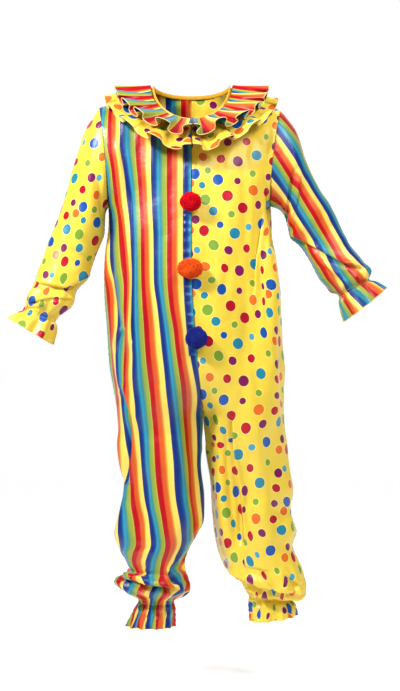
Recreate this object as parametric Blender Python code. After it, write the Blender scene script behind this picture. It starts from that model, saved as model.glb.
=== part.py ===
"""Clown jumpsuit in its worn form: two-coloured body and legs, set-in sleeves, double ruffle collar and pompoms.

Units are metres and +Z is up. The origin lies on the shoulder line at the middle of the neck, where the wearer
carries the garment. The front faces -Y. The wearer's right half is at -X (striped cloth, side -1) and the left
half at +X (dotted cloth, side +1). Levels are given as a drop below the shoulder line.
"""

import math

import bmesh
import bpy
import numpy as np

COLLECTION = "clown_jumpsuit"
RIGHT = -1
LEFT = 1

# Cloth, seams and clearances
CLOTH = 0.002
SEAM_GAP = 0.0003
PLACKET_LIFT = 0.0008
RUFFLE_LIFT = 0.0010
UPPER_RUFFLE_LIFT = 0.0060

# Neck, shoulder and seat levels
FRONT_NECK_DROP = 0.100
BACK_NECK_DROP = 0.022
NECK_HALF_WIDTH = 0.108
NECK_SHOULDER_Y = 0.005
UNDERARM_DROP = 0.320
CROTCH_DROP = 0.8775
FORK_HEIGHT = 0.170
CENTRE_CALM = 0.030
CROTCH_CALM = 0.080
NECK_TURN = 62.0
BOW_REACH = 0.3
FOLD_END_POWER = 0.7

# Nets: cells across a panel, round a sleeve, and their doubling at the gathered ends
PANEL_CELLS = 10
SLEEVE_CELLS = 18
NECK_STEPS = 6
CENTRE_STEPS = 4
TRUNK_STEPS = 11
TRUNK_CROWDING = 1.5
LEG_FINE_FROM = 10
SLEEVE_FINE_FROM = 7.0
LEG_GATHERS = 10
SLEEVE_GATHERS = 9

# Body half seen level by level: middle seam, side seams, front and back depth
TORSO_COLUMNS = ("drop", "middle", "right", "left", "front", "back")
TORSO = (
    (0.0220, 0.000, 0.223, 0.211, -0.060, 0.075),
    (0.1000, 0.000, 0.223, 0.211, -0.086, 0.101),
    (0.2000, 0.000, 0.223, 0.211, -0.130, 0.124),
    (0.3200, 0.000, 0.223, 0.211, -0.148, 0.138),
    (0.3810, 0.000, 0.226, 0.214, -0.154, 0.137),
    (0.4600, 0.000, 0.235, 0.229, -0.159, 0.136),
    (0.5200, 0.001, 0.237, 0.235, -0.162, 0.139),
    (0.5720, 0.003, 0.235, 0.239, -0.164, 0.144),
    (0.6400, 0.008, 0.229, 0.242, -0.165, 0.151),
    (0.7050, 0.014, 0.225, 0.245, -0.164, 0.156),
    (0.7560, 0.019, 0.221, 0.251, -0.159, 0.155),
    (0.8070, 0.024, 0.212, 0.249, -0.148, 0.150),
    (0.8775, 0.031, 0.200, 0.247, -0.123, 0.135),
)

# Legs ring by ring; columns: drop, inner side, outer side, centre depth, half depth, gather height and the rise
# of the outer side
LEGS = {
    RIGHT: (
        (0.9260, 0.0300, -0.1930, 0.000, 0.124, 0.000, 0.000),
        (0.9560, 0.0265, -0.1940, -0.005, 0.120, 0.000, 0.000),
        (1.0150, 0.0230, -0.1850, -0.012, 0.112, 0.000, 0.000),
        (1.0560, 0.0260, -0.1750, -0.018, 0.107, 0.000, 0.000),
        (1.0990, 0.0315, -0.1770, -0.024, 0.104, 0.000, 0.000),
        (1.1310, 0.0330, -0.1860, -0.028, 0.103, 0.000, 0.000),
        (1.1660, 0.0300, -0.1970, -0.031, 0.104, 0.000, 0.000),
        (1.1990, 0.0170, -0.2050, -0.034, 0.103, 0.000, 0.000),
        (1.2390, -0.0050, -0.1930, -0.037, 0.098, 0.000, 0.000),
        (1.2770, -0.0180, -0.1730, -0.040, 0.091, 0.001, 0.000),
        (1.3040, -0.0150, -0.1690, -0.042, 0.090, 0.003, 0.000),
        (1.3300, -0.0080, -0.2040, -0.043, 0.096, 0.005, 0.000),
        (1.3650, -0.0110, -0.1870, -0.044, 0.088, 0.006, 0.000),
        (1.3850, -0.0480, -0.1430, -0.044, 0.047, 0.003, 0.000),
        (1.4000, -0.0460, -0.1500, -0.044, 0.050, 0.005, 0.000),
        (1.4500, -0.0500, -0.1730, -0.044, 0.060, 0.009, 0.000),
    ),
    LEFT: (
        (0.9260, 0.0350, 0.2500, 0.011, 0.124, 0.000, 0.000),
        (0.9560, 0.0400, 0.2550, 0.015, 0.120, 0.000, 0.000),
        (1.0150, 0.0470, 0.2610, 0.021, 0.113, 0.000, 0.000),
        (1.0560, 0.0510, 0.2670, 0.024, 0.109, 0.000, 0.000),
        (1.0990, 0.0540, 0.2710, 0.027, 0.104, 0.000, 0.000),
        (1.1310, 0.0570, 0.2670, 0.028, 0.104, 0.000, 0.000),
        (1.1660, 0.0600, 0.2760, 0.029, 0.104, 0.000, 0.000),
        (1.1990, 0.0630, 0.2810, 0.030, 0.102, 0.000, 0.000),
        (1.2390, 0.0710, 0.2780, 0.030, 0.099, 0.000, 0.000),
        (1.2770, 0.0830, 0.2930, 0.030, 0.095, 0.001, 0.000),
        (1.3040, 0.0970, 0.3000, 0.030, 0.092, 0.003, 0.000),
        (1.3300, 0.1250, 0.3040, 0.030, 0.090, 0.005, 0.000),
        (1.3560, 0.1450, 0.3020, 0.030, 0.080, 0.006, 0.000),
        (1.3740, 0.1570, 0.2760, 0.030, 0.047, 0.003, -0.006),
        (1.3890, 0.1580, 0.2770, 0.030, 0.050, 0.005, -0.002),
        (1.4310, 0.1620, 0.2830, 0.030, 0.061, 0.009, 0.010),
    ),
}

# Sleeves ring by ring from the armhole: top and underside as seen from the front, centre and half depth
SLEEVE_COLUMNS = ("top", "top_drop", "under", "under_drop", "centre", "depth", "scoop", "gather")
SLEEVES = {
    RIGHT: (
        (0.248, 0.054, 0.223, 0.320, -0.005, 0.093, 0.006, 0.000),
        (0.269, 0.082, 0.229, 0.330, -0.006, 0.092, 0.003, 0.000),
        (0.287, 0.118, 0.232, 0.345, -0.006, 0.087, 0.000, 0.000),
        (0.312, 0.200, 0.233, 0.372, -0.006, 0.080, 0.000, 0.000),
        (0.3335, 0.265, 0.236, 0.401, -0.007, 0.074, 0.000, 0.000),
        (0.3645, 0.359, 0.254, 0.447, -0.012, 0.067, 0.000, 0.000),
        (0.3915, 0.445, 0.276, 0.502, -0.020, 0.062, 0.000, 0.000),
        (0.4200, 0.515, 0.304, 0.545, -0.029, 0.061, 0.000, 0.001),
        (0.4400, 0.566, 0.331, 0.592, -0.035, 0.060, 0.000, 0.004),
        (0.4480, 0.595, 0.364, 0.627, -0.038, 0.045, 0.000, 0.002),
        (0.4620, 0.604, 0.364, 0.645, -0.040, 0.050, 0.000, 0.005),
        (0.4880, 0.622, 0.374, 0.690, -0.043, 0.062, 0.000, 0.008),
    ),
    LEFT: (
        (0.239, 0.062, 0.211, 0.320, -0.005, 0.093, 0.008, 0.000),
        (0.266, 0.088, 0.225, 0.324, -0.005, 0.092, 0.004, 0.000),
        (0.291, 0.130, 0.239, 0.331, -0.004, 0.087, 0.000, 0.000),
        (0.311, 0.196, 0.251, 0.347, -0.003, 0.080, 0.000, 0.000),
        (0.342, 0.261, 0.261, 0.378, -0.003, 0.073, 0.000, 0.000),
        (0.385, 0.330, 0.282, 0.416, -0.006, 0.068, 0.000, 0.000),
        (0.419, 0.408, 0.317, 0.466, -0.014, 0.063, 0.000, 0.000),
        (0.456, 0.465, 0.354, 0.525, -0.024, 0.061, 0.000, 0.001),
        (0.477, 0.494, 0.376, 0.550, -0.030, 0.060, 0.000, 0.004),
        (0.474, 0.519, 0.396, 0.562, -0.034, 0.045, 0.000, 0.002),
        (0.491, 0.527, 0.398, 0.582, -0.036, 0.050, 0.000, 0.005),
        (0.519, 0.545, 0.414, 0.628, -0.040, 0.062, 0.000, 0.008),
    ),
}

# Largest folds of the body and legs: ridges (+) and troughs (-) that run down the cloth, angles in degrees
# with 90 at centre front, 180 at the side seam and 270 at centre back; columns: side, angle, drift of the angle
# on the way down, top drop, bottom drop, width in degrees, height
FOLDS = (
    (RIGHT, 150, -24, 0.30, 0.82, 13, 0.014),
    (RIGHT, 170, -26, 0.32, 0.80, 11, -0.013),
    (RIGHT, 126, -12, 0.38, 0.86, 11, -0.008),
    (RIGHT, 212, 20, 0.30, 0.82, 14, 0.014),
    (RIGHT, 190, 24, 0.34, 0.78, 11, -0.011),
    (RIGHT, 245, 6, 0.45, 0.86, 12, -0.008),
    (RIGHT, 146, 10, 0.84, 1.24, 15, 0.014),
    (RIGHT, 112, 8, 0.88, 1.32, 15, -0.013),
    (RIGHT, 70, -14, 0.93, 1.30, 16, 0.012),
    (RIGHT, 230, -14, 0.86, 1.30, 18, 0.014),
    (RIGHT, 285, -8, 0.90, 1.32, 18, -0.012),
    (LEFT, 158, -16, 0.30, 0.84, 12, 0.015),
    (LEFT, 138, -14, 0.34, 0.82, 11, -0.012),
    (LEFT, 197, 8, 0.33, 0.80, 11, -0.013),
    (LEFT, 214, 18, 0.30, 0.82, 13, 0.014),
    (LEFT, 240, 12, 0.40, 0.86, 12, -0.009),
    (LEFT, 44, 6, 0.90, 1.34, 15, 0.014),
    (LEFT, 76, 8, 0.89, 1.32, 15, -0.014),
    (LEFT, 112, 6, 0.86, 1.28, 16, 0.013),
    (LEFT, 228, -12, 0.86, 1.31, 18, 0.014),
    (LEFT, 282, -10, 0.90, 1.33, 18, -0.012),
)

# Folds of the sleeves; columns: side, ring number, angle in degrees from the top over the front, length in
# rings, width in degrees, height
SLEEVE_FOLDS = (
    (RIGHT, 6.3, 150, 0.45, 70, 0.007),
    (RIGHT, 7.2, 110, 0.40, 80, -0.006),
    (RIGHT, 7.8, 130, 0.40, 90, 0.007),
    (RIGHT, 3.6, 100, 1.20, 24, 0.008),
    (RIGHT, 4.0, 250, 1.20, 26, 0.008),
    (LEFT, 4.6, 160, 0.45, 60, 0.009),
    (LEFT, 5.4, 120, 0.45, 70, -0.006),
    (LEFT, 6.8, 130, 0.50, 80, 0.007),
    (LEFT, 3.4, 75, 1.20, 24, 0.008),
    (LEFT, 3.8, 245, 1.20, 26, 0.008),
)

# Ruffles; columns: name, width of the cloth, slope in degrees below level at front, left, back and right,
# number of waves, wave height at the root and at the edge, lift above the cloth below
RUFFLES = (
    ("collar_ruffle_lower", 0.127, 46.0, 21.0, 43.0, 17.0, 16, 0.0010, 0.0120, RUFFLE_LIFT),
    ("collar_ruffle_upper", 0.097, 33.0, 7.0, 28.0, 5.0, 22, 0.0010, 0.0095, UPPER_RUFFLE_LIFT),
)
RUFFLE_SIDE_CALM = 0.45
SLOPE_POWER = 3
RUFFLE_ROWS = 3
RUFFLE_WAVE_POWER = 1.3
RUFFLE_ROOT = 0.0010
COLLAR_OPENING = 0.008
WAVE_UNEVENNESS = 0.05

# Neck binding and front placket
BINDING_HEIGHT = 0.010
BINDING_SINK = 0.0010
BINDING_LEAN = 0.30
BINDING_CLEARANCE = 0.0018
BINDING_CELLS = 48
PLACKET_WIDTH = 0.022
PLACKET_TOP = 0.118
PLACKET_BOTTOM = 0.722

# Pompoms down the centre front; columns: name, drop, shift from the middle seam, width, height, depth, colour
POMPOMS = (
    ("pompom_red", 0.320, -0.001, 0.061, 0.055, 0.050, (0.75, 0.00, 0.01)),
    ("pompom_orange", 0.494, -0.003, 0.072, 0.058, 0.052, (0.90, 0.14, 0.01)),
    ("pompom_blue", 0.676, 0.003, 0.063, 0.061, 0.052, (0.02, 0.03, 0.28)),
)
POMPOM_LOCK = 0.10
POMPOM_PRESS = 0.12

STRIPED = (0.62, 0.22, 0.10)
DOTTED = (1.00, 0.76, 0.10)
SATIN_ROUGHNESS = 0.35
YARN_ROUGHNESS = 0.9
CREASE_ANGLE = 50


def smooth(levels, values, at):
    """A smooth curve through the rows of a table, read at one or many levels."""
    levels = np.asarray(levels, dtype=float)
    values = np.asarray(values, dtype=float)
    slopes = np.gradient(values, levels)
    at = np.clip(at, levels[0], levels[-1])
    low = np.clip(np.searchsorted(levels, at, side="right") - 1, 0, len(levels) - 2)
    span = levels[low + 1] - levels[low]
    t = (at - levels[low]) / span
    start = (1 + 2 * t) * (1 - t) ** 2 * values[low] + t * (1 - t) ** 2 * span * slopes[low]
    end = t * t * (3 - 2 * t) * values[low + 1] - t * t * (1 - t) * span * slopes[low + 1]
    return start + end


def torso(name, drop):
    """One column of the torso table at a level."""
    column = TORSO_COLUMNS.index(name)
    return smooth([row[0] for row in TORSO], [row[column] for row in TORSO], drop)


def sleeve(side, name, ring):
    """One column of a sleeve table at a ring number, which may lie between two rings."""
    column = SLEEVE_COLUMNS.index(name)
    table = SLEEVES[side]
    return smooth(range(len(table)), [row[column] for row in table], ring)


def fold_height(side, angle, drop):
    """How far the folds lift a point of the body, from its angle in degrees and its level."""
    height = np.zeros_like(angle)
    for fold_side, centre, drift, top, bottom, width, rise in FOLDS:
        if fold_side != side or not top < drop < bottom:
            continue
        run = (drop - top) / (bottom - top)
        away = (angle - centre - drift * run + 180) % 360 - 180
        height = height + rise * math.sin(math.pi * run) ** FOLD_END_POWER * np.exp(-((away / width) ** 2))
    return height


def neck_point(side, turn):
    """A point of the neckline; turn goes from 0 at centre front over the shoulder to pi at centre back."""
    reach = abs(math.cos(turn))
    if turn < math.pi / 2:
        edge_y = float(torso("front", FRONT_NECK_DROP))
        drop = FRONT_NECK_DROP
    else:
        edge_y = float(torso("back", BACK_NECK_DROP))
        drop = BACK_NECK_DROP
    y = NECK_SHOULDER_Y + (edge_y - NECK_SHOULDER_Y) * reach
    return np.array((side * NECK_HALF_WIDTH * math.sin(turn), y, -drop * reach))


def sleeve_ring(side, ring, angles):
    """Points of a sleeve ring: an upright ellipse from its top over the front to its underside and back."""
    top = np.array((side * sleeve(side, "top", ring), 0.0, -sleeve(side, "top_drop", ring)))
    under = np.array((side * sleeve(side, "under", ring), 0.0, -sleeve(side, "under_drop", ring)))
    half = (top - under) / 2
    upward = half / np.linalg.norm(half)
    forward = np.array((0.0, -1.0, 0.0))
    cosine = np.cos(angles)[:, None]
    sine = np.sin(angles)[:, None]
    points = (top + under) / 2 + half * cosine + forward * float(sleeve(side, "depth", ring)) * sine
    points[:, 1] += sleeve(side, "centre", ring)
    points[:, 0] -= side * sleeve(side, "scoop", ring) * np.sin(angles) ** 2
    lift = sleeve(side, "gather", ring) * np.cos(SLEEVE_GATHERS * angles)
    for fold_side, place, centre, length, width, rise in SLEEVE_FOLDS:
        if fold_side == side:
            away = (np.degrees(angles) - centre + 180) % 360 - 180
            lift = lift + rise * np.exp(-((ring - place) / length) ** 2 - (away / width) ** 2)
    return points + (upward * cosine + forward * sine) * lift[:, None]


def yoke_row(side, front, step):
    """A row from the centre line or neckline (step 0 underarm, 0.5 neck, 1 shoulder) to the armhole."""
    turn = max(step - 0.5, 0.0) * math.pi
    if step < 0.5:
        neck_drop = FRONT_NECK_DROP if front else BACK_NECK_DROP
        drop = UNDERARM_DROP + (neck_drop - UNDERARM_DROP) * step / 0.5
        inner = np.array((0.0, float(torso("front" if front else "back", drop)), -drop))
    else:
        inner = neck_point(side, turn if front else math.pi - turn)
    angle = math.radians(np.interp(step, (0.0, 0.5, 1.0), (180.0, NECK_TURN, 0.0)))
    outer = sleeve_ring(side, 0, np.array((angle if front else -angle,)))[0]
    blend = min(step / BOW_REACH, 1.0)
    share = np.arange(PANEL_CELLS + 1) / PANEL_CELLS
    across = (1 - blend) * np.sin(share * math.pi / 2) + blend * share
    bow = (1 - blend) * (1 - np.sqrt(1 - across**2)) + blend * across**2
    points = np.empty((PANEL_CELLS + 1, 3))
    points[:, 0] = inner[0] + (outer[0] - inner[0]) * across
    points[:, 1] = inner[1] + (outer[1] - inner[1]) * bow
    points[:, 2] = inner[2] + (outer[2] - inner[2]) * across
    return points


def body_row(side, front, section, cells):
    """A level row of a panel: half of an ellipse that closes into the leg as its fork share reaches 1."""
    drop, middle, half_width, centre, depth, fork, gather, tilt = section
    start = math.acos(min(fork, 1.0))
    if front:
        angles = np.linspace(start, math.pi, cells + 1)
    else:
        angles = np.linspace(math.pi, 2 * math.pi - start, cells + 1)[::-1]
    x = fork * half_width - half_width * np.cos(angles)
    calm = 1 - np.exp(-((x / CENTRE_CALM) ** 2))
    calm = np.maximum(calm, min(max((drop - CROTCH_DROP) / CROTCH_CALM, 0.0), 1.0))
    lift = fold_height(side, np.degrees(angles), drop) * calm + gather * np.cos(LEG_GATHERS * angles)
    points = np.empty((cells + 1, 3))
    points[:, 0] = middle + side * (x - lift * np.cos(angles))
    points[:, 1] = centre - (depth + lift) * np.sin(angles)
    points[:, 2] = -drop + tilt * (0.5 - 0.5 * np.cos(angles))
    return points


def trunk_section(side, drop):
    """The section of one half of the body at a level between underarm and crotch."""
    middle = float(torso("middle", drop))
    width = abs(side * float(torso("right" if side == RIGHT else "left", drop)) - middle)
    fork = max(0.0, 1 - (CROTCH_DROP - drop) / FORK_HEIGHT) ** 2
    front = float(torso("front", drop))
    back = float(torso("back", drop))
    return (drop, middle, width / (1 + fork), (front + back) / 2, (back - front) / 2, fork, 0.0, 0.0)


def leg_section(row):
    """The section of a leg ring of the table, measured from its inner side."""
    drop, inner, outer, centre, depth, gather, tilt = row
    return (drop, inner, abs(outer - inner) / 2, centre, depth, 1.0, gather, tilt)


def panel_rows(side, front):
    """All rows of a front or back panel, from the shoulder seam down to the ankle hem."""
    neck = np.linspace(1.0, 0.5, NECK_STEPS + 1)
    centre = np.linspace(0.5, 0.0, CENTRE_STEPS + 1)[1:]
    rows = [yoke_row(side, front, step) for step in np.concatenate((neck, centre))]
    for share in np.arange(1, TRUNK_STEPS + 1) / TRUNK_STEPS:
        below = 1 - (1 - share) ** TRUNK_CROWDING
        drop = UNDERARM_DROP + (CROTCH_DROP - UNDERARM_DROP) * below
        rows.append(body_row(side, front, trunk_section(side, drop), PANEL_CELLS))
    for number, row in enumerate(LEGS[side]):
        cells = PANEL_CELLS * 2 if number >= LEG_FINE_FROM else PANEL_CELLS
        rows.append(body_row(side, front, leg_section(row), cells))
    return rows


def net_triangles(rows, closed):
    """Triangles between neighbouring rows, where a row may have twice the cells of the row before it."""
    triangles = []
    start = 0
    for row, following in zip(rows, rows[1:]):
        upper = len(row)
        lower = len(following)
        cells = upper if closed else upper - 1
        ratio = (lower if closed else lower - 1) // cells
        for cell in range(cells):
            a = start + cell
            b = start + (cell + 1) % upper
            below = [start + upper + (cell * ratio + k) % lower for k in range(ratio + 1)]
            half = (ratio + 1) // 2
            for k in range(ratio):
                triangles.append((a if k < half else b, below[k], below[k + 1]))
            triangles.append((a, below[half], b))
        start += upper
    return triangles


def seam_normals(nets):
    """Outward normals of every net, shared by all the nets that meet at a point.

    A net is its rows, whether its rows are closed rings, and a turn of 1 or -1 that makes the normals point out.
    """
    keys = [[tuple(np.round(point, 6)) for row in rows for point in row] for rows, closed, turn in nets]
    totals = {}
    for (rows, closed, turn), names in zip(nets, keys):
        points = np.vstack(rows)
        for a, b, c in net_triangles(rows, closed):
            normal = turn * np.cross(points[b] - points[a], points[c] - points[a])
            for corner in (a, b, c):
                totals[names[corner]] = totals.get(names[corner], 0) + normal
    result = []
    for names in keys:
        normals = np.array([totals[name] for name in names])
        result.append(normals / np.linalg.norm(normals, axis=1)[:, None])
    return result


def keep_back(normals, picks, direction):
    """Turns picked normals so that the wall behind them doesn't cross the seam that lies in a direction."""
    unit = direction / np.linalg.norm(direction)
    for pick in picks:
        across = float(normals[pick] @ unit)
        if across < 0:
            normals[pick] = normals[pick] - across * unit
            normals[pick] /= np.linalg.norm(normals[pick])


def pull_in(rows, first_row):
    """Moves both ends of each row, and the first row when it is a seam, half a seam gap into the panel."""
    result = [row.copy() for row in rows]
    for row, source in zip(result, rows):
        for end, neighbour in ((0, 1), (-1, -2)):
            step = source[neighbour] - source[end]
            row[end] = row[end] + step / np.linalg.norm(step) * SEAM_GAP / 2
    if first_row:
        step = rows[1] - rows[0]
        result[0] = result[0] + step / np.linalg.norm(step, axis=1)[:, None] * SEAM_GAP / 2
    return result


def material(name, colour, roughness):
    """A Principled material for one sub-part."""
    new = bpy.data.materials.new(name)
    new.use_nodes = True
    shader = new.node_tree.nodes["Principled BSDF"]
    shader.inputs["Base Color"].default_value = (*colour, 1.0)
    shader.inputs["Roughness"].default_value = roughness
    shader.inputs["Metallic"].default_value = 0.0
    return new


def add_object(name, mesh, colour, roughness):
    """Shades a mesh smooth and puts it in the collection as a named object with its material."""
    shell = bmesh.new()
    shell.from_mesh(mesh)
    bmesh.ops.recalc_face_normals(shell, faces=shell.faces)
    shell.to_mesh(mesh)
    shell.free()
    mesh.shade_smooth()
    mesh.set_sharp_from_angle(angle=math.radians(CREASE_ANGLE))
    mesh.materials.append(material(name, colour, roughness))
    new = bpy.data.objects.new(name, mesh)
    bpy.data.collections[COLLECTION].objects.link(new)
    return new


def add_wall(name, rows, normals, closed, colour):
    """A closed cloth wall: the outer net, the same net a cloth thickness behind it, and the edges between."""
    outer = np.vstack(rows)
    inner = outer - normals * CLOTH
    count = len(outer)
    front = net_triangles(rows, closed)
    edges = {(face[k], face[(k + 1) % 3]) for face in front for k in range(3)}
    faces = list(front)
    faces += [(a + count, c + count, b + count) for a, b, c in front]
    faces += [(b, a, a + count, b + count) for a, b in sorted(edges) if (b, a) not in edges]
    mesh = bpy.data.meshes.new(name)
    mesh.from_pydata(np.vstack((outer, inner)).tolist(), [], faces)
    return add_object(name, mesh, colour, SATIN_ROUGHNESS)


def armhole_direction(side):
    """The direction across the armhole seam, from the body to the sleeve."""
    top = np.array((side * sleeve(side, "top", 0), 0.0, -sleeve(side, "top_drop", 0)))
    under = np.array((side * sleeve(side, "under", 0), 0.0, -sleeve(side, "under_drop", 0)))
    upward = top - under
    return side * np.array((upward[2], 0.0, -upward[0])) / np.linalg.norm(upward)


def build_half(side, front_name, back_name, colour):
    """Front and back panel of one half, each from shoulder to ankle in one piece; returns the front's rows."""
    panels = {front_name: panel_rows(side, True), back_name: panel_rows(side, False)}
    nets = [(panels[front_name], False, side), (panels[back_name], False, -side)]
    for (name, seams), normals in zip(panels.items(), seam_normals(nets)):
        rows = pull_in(seams, True)
        starts = np.cumsum([0] + [len(row) for row in rows])
        yoke = NECK_STEPS + CENTRE_STEPS + 1
        keep_back(normals, [starts[i + 1] - 1 for i in range(yoke)], armhole_direction(side))
        trunk = range(NECK_STEPS, yoke + TRUNK_STEPS)
        keep_back(normals, [starts[i] for i in trunk], np.array((-side, 0.0, 0.0)))
        for i in range(NECK_STEPS + 1):
            keep_back(normals, [starts[i]], rows[i][0] * np.array((-1.0, -1.0, 0.0)))
        add_wall(name, rows, normals, False, colour)
    return panels[front_name]


def build_sleeve(side, name, colour):
    """A set-in sleeve with its elastic and wrist frill in one piece."""
    last = len(SLEEVES[side]) - 1
    rings = np.arange(0, 2 * last + 1) / 2
    rows = []
    for ring in rings:
        cells = SLEEVE_CELLS * 2 if ring >= SLEEVE_FINE_FROM else SLEEVE_CELLS
        rows.append(sleeve_ring(side, ring, np.arange(cells) / cells * 2 * math.pi))
    direction = armhole_direction(side)
    rows[0] = rows[0] + direction * SEAM_GAP
    normals = seam_normals([(rows, True, -side)])[0]
    keep_back(normals, range(SLEEVE_CELLS), -direction)
    add_wall(name, rows, normals, True, colour)


def collar_frame(turn):
    """Neckline point and level direction away from the neck, for a turn of 0 to 2 pi round the collar."""
    side = LEFT if turn <= math.pi else RIGHT
    half_turn = turn if turn <= math.pi else 2 * math.pi - turn
    point = neck_point(side, half_turn)
    away = np.array((math.sin(turn), -math.cos(turn), 0.0))
    return point, away


def build_ruffle(name, width, front, left, back, right, waves, root, edge, lift):
    """A gathered ruffle: a cone from the neckline with waves that grow towards its outer edge."""
    phases = np.linspace(0, waves * 2 * math.pi, waves * 4 + 1)
    opening = np.linspace(COLLAR_OPENING, -COLLAR_OPENING, len(phases))
    turns = phases / waves + opening + WAVE_UNEVENNESS * np.sin(phases / waves * 3)
    rows = []
    for reach in np.linspace(RUFFLE_ROOT, width, RUFFLE_ROWS + 1):
        row = []
        for phase, turn in zip(phases, turns):
            point, away = collar_frame(turn)
            ahead = math.cos(turn)
            side = left if away[0] > 0 else right
            share = abs(ahead) ** SLOPE_POWER
            slope = math.radians(side + ((front if ahead > 0 else back) - side) * share)
            outward = away * math.cos(slope) - np.array((0, 0, math.sin(slope)))
            upward = away * math.sin(slope) + np.array((0, 0, math.cos(slope)))
            full = edge * (1 - RUFFLE_SIDE_CALM * away[0] ** 2)
            wave = root + (full - root) * (reach / width) ** RUFFLE_WAVE_POWER
            height = lift + CLOTH + wave * (1 + math.cos(phase))
            row.append(point + outward * reach + upward * height)
        rows.append(np.array(row))
    normals = seam_normals([(rows, False, 1)])[0]
    add_wall(name, rows, normals, False, DOTTED if "lower" in name else STRIPED)


def build_binding():
    """A narrow band that stands inside the neckline and covers the roots of the ruffles."""
    turns = np.linspace(COLLAR_OPENING, 2 * math.pi - COLLAR_OPENING, BINDING_CELLS + 1)
    rows = []
    for height in (BINDING_HEIGHT, -BINDING_SINK):
        row = []
        for turn in turns:
            point, away = collar_frame(turn)
            upward = np.array((0, 0, 1.0)) - BINDING_LEAN * away
            row.append(point - away * BINDING_CLEARANCE + upward / np.linalg.norm(upward) * height)
        rows.append(np.array(row))
    normals = seam_normals([(rows, False, 1)])[0]
    add_wall("neck_binding", rows, normals, False, DOTTED)


def front_surface(rows, drop, reach):
    """A point on the right front, at a level of its centre edge and a distance along the cloth from it."""
    edge = np.array([row[0] for row in rows])
    beside = np.array([row[1] for row in rows])
    place = np.interp(drop, -edge[:, 2], np.arange(len(rows)))
    low = min(int(place), len(rows) - 2)
    share = place - low
    start = edge[low] * (1 - share) + edge[low + 1] * share
    end = beside[low] * (1 - share) + beside[low + 1] * share
    return start + (end - start) / np.linalg.norm(end - start) * reach


def build_placket(rows):
    """The lapped edge of the front opening, a strip on the right front from collar to last pompom."""
    centre_rows = rows[NECK_STEPS:]
    levels = [-row[0][2] for row in centre_rows]
    drops = [drop for drop in levels if PLACKET_TOP < drop < PLACKET_BOTTOM]
    drops = [PLACKET_TOP, *drops, PLACKET_BOTTOM]
    reaches = (SEAM_GAP, PLACKET_WIDTH / 2, PLACKET_WIDTH)
    net = [np.array([front_surface(centre_rows, drop, reach) for reach in reaches]) for drop in drops]
    normals = seam_normals([(net, False, RIGHT)])[0]
    starts = np.cumsum([0] + [len(row) for row in net])
    lifted = []
    for number, row in enumerate(net):
        lifted.append(row + normals[starts[number] : starts[number + 1]] * (PLACKET_LIFT + CLOTH))
    add_wall("front_placket", lifted, normals, False, STRIPED)


def build_pompom(name, drop, shift, width, height, depth, colour):
    """A ball of short pointed locks, pressed flat where it is sewn to the placket."""
    stand_off = PLACKET_LIFT + CLOTH + 2 * SEAM_GAP
    shell = bmesh.new()
    bmesh.ops.create_icosphere(shell, subdivisions=2, radius=1.0)
    poked = bmesh.ops.poke(shell, faces=shell.faces[:])
    for tip in poked["verts"]:
        tip.co = tip.co.normalized() * (1 + POMPOM_LOCK)
    centre_y = float(torso("front", drop)) - stand_off - depth * (0.5 - POMPOM_PRESS)
    x = float(torso("middle", drop)) + shift
    for vertex in shell.verts:
        spot = vertex.co.copy()
        vertex.co.x = x + spot.x * width / 2 / (1 + POMPOM_LOCK)
        vertex.co.z = -drop + spot.z * height / 2 / (1 + POMPOM_LOCK)
        seat = float(torso("front", -vertex.co.z)) - stand_off
        vertex.co.y = min(centre_y + spot.y * depth / 2, seat)
    mesh = bpy.data.meshes.new(name)
    shell.to_mesh(mesh)
    shell.free()
    add_object(name, mesh, colour, YARN_ROUGHNESS)


def main():
    for old in list(bpy.data.objects):
        bpy.data.objects.remove(old, do_unlink=True)
    garment = bpy.data.collections.new(COLLECTION)
    bpy.context.scene.collection.children.link(garment)
    right_front = build_half(RIGHT, "right_front", "right_back", STRIPED)
    build_half(LEFT, "left_front", "left_back", DOTTED)
    build_sleeve(RIGHT, "right_sleeve", DOTTED)
    build_sleeve(LEFT, "left_sleeve", STRIPED)
    for ruffle in RUFFLES:
        build_ruffle(*ruffle)
    build_binding()
    build_placket(right_front)
    for pompom in POMPOMS:
        build_pompom(*pompom)


main()
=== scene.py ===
import math

import bpy
import numpy as np
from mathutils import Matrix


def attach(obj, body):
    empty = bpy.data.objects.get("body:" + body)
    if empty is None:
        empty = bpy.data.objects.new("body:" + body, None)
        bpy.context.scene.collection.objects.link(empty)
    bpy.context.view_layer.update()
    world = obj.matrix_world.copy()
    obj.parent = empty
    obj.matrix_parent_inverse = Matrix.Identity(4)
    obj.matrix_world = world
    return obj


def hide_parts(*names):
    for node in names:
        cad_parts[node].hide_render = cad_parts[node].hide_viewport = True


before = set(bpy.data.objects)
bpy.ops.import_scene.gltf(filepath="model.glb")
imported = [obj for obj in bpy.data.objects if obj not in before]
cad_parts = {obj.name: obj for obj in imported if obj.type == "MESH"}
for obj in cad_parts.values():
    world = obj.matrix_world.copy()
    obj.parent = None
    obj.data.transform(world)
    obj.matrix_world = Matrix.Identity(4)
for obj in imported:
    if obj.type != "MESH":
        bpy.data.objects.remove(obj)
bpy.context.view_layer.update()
print("frame loaded:", sorted(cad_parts))

# The garment in metres: x towards the wearer's left, -y to the front, heights as a drop below the shoulder
# line. side is -1 for the wearer's right (striped) half and 1 for the left (dotted) half.

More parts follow.
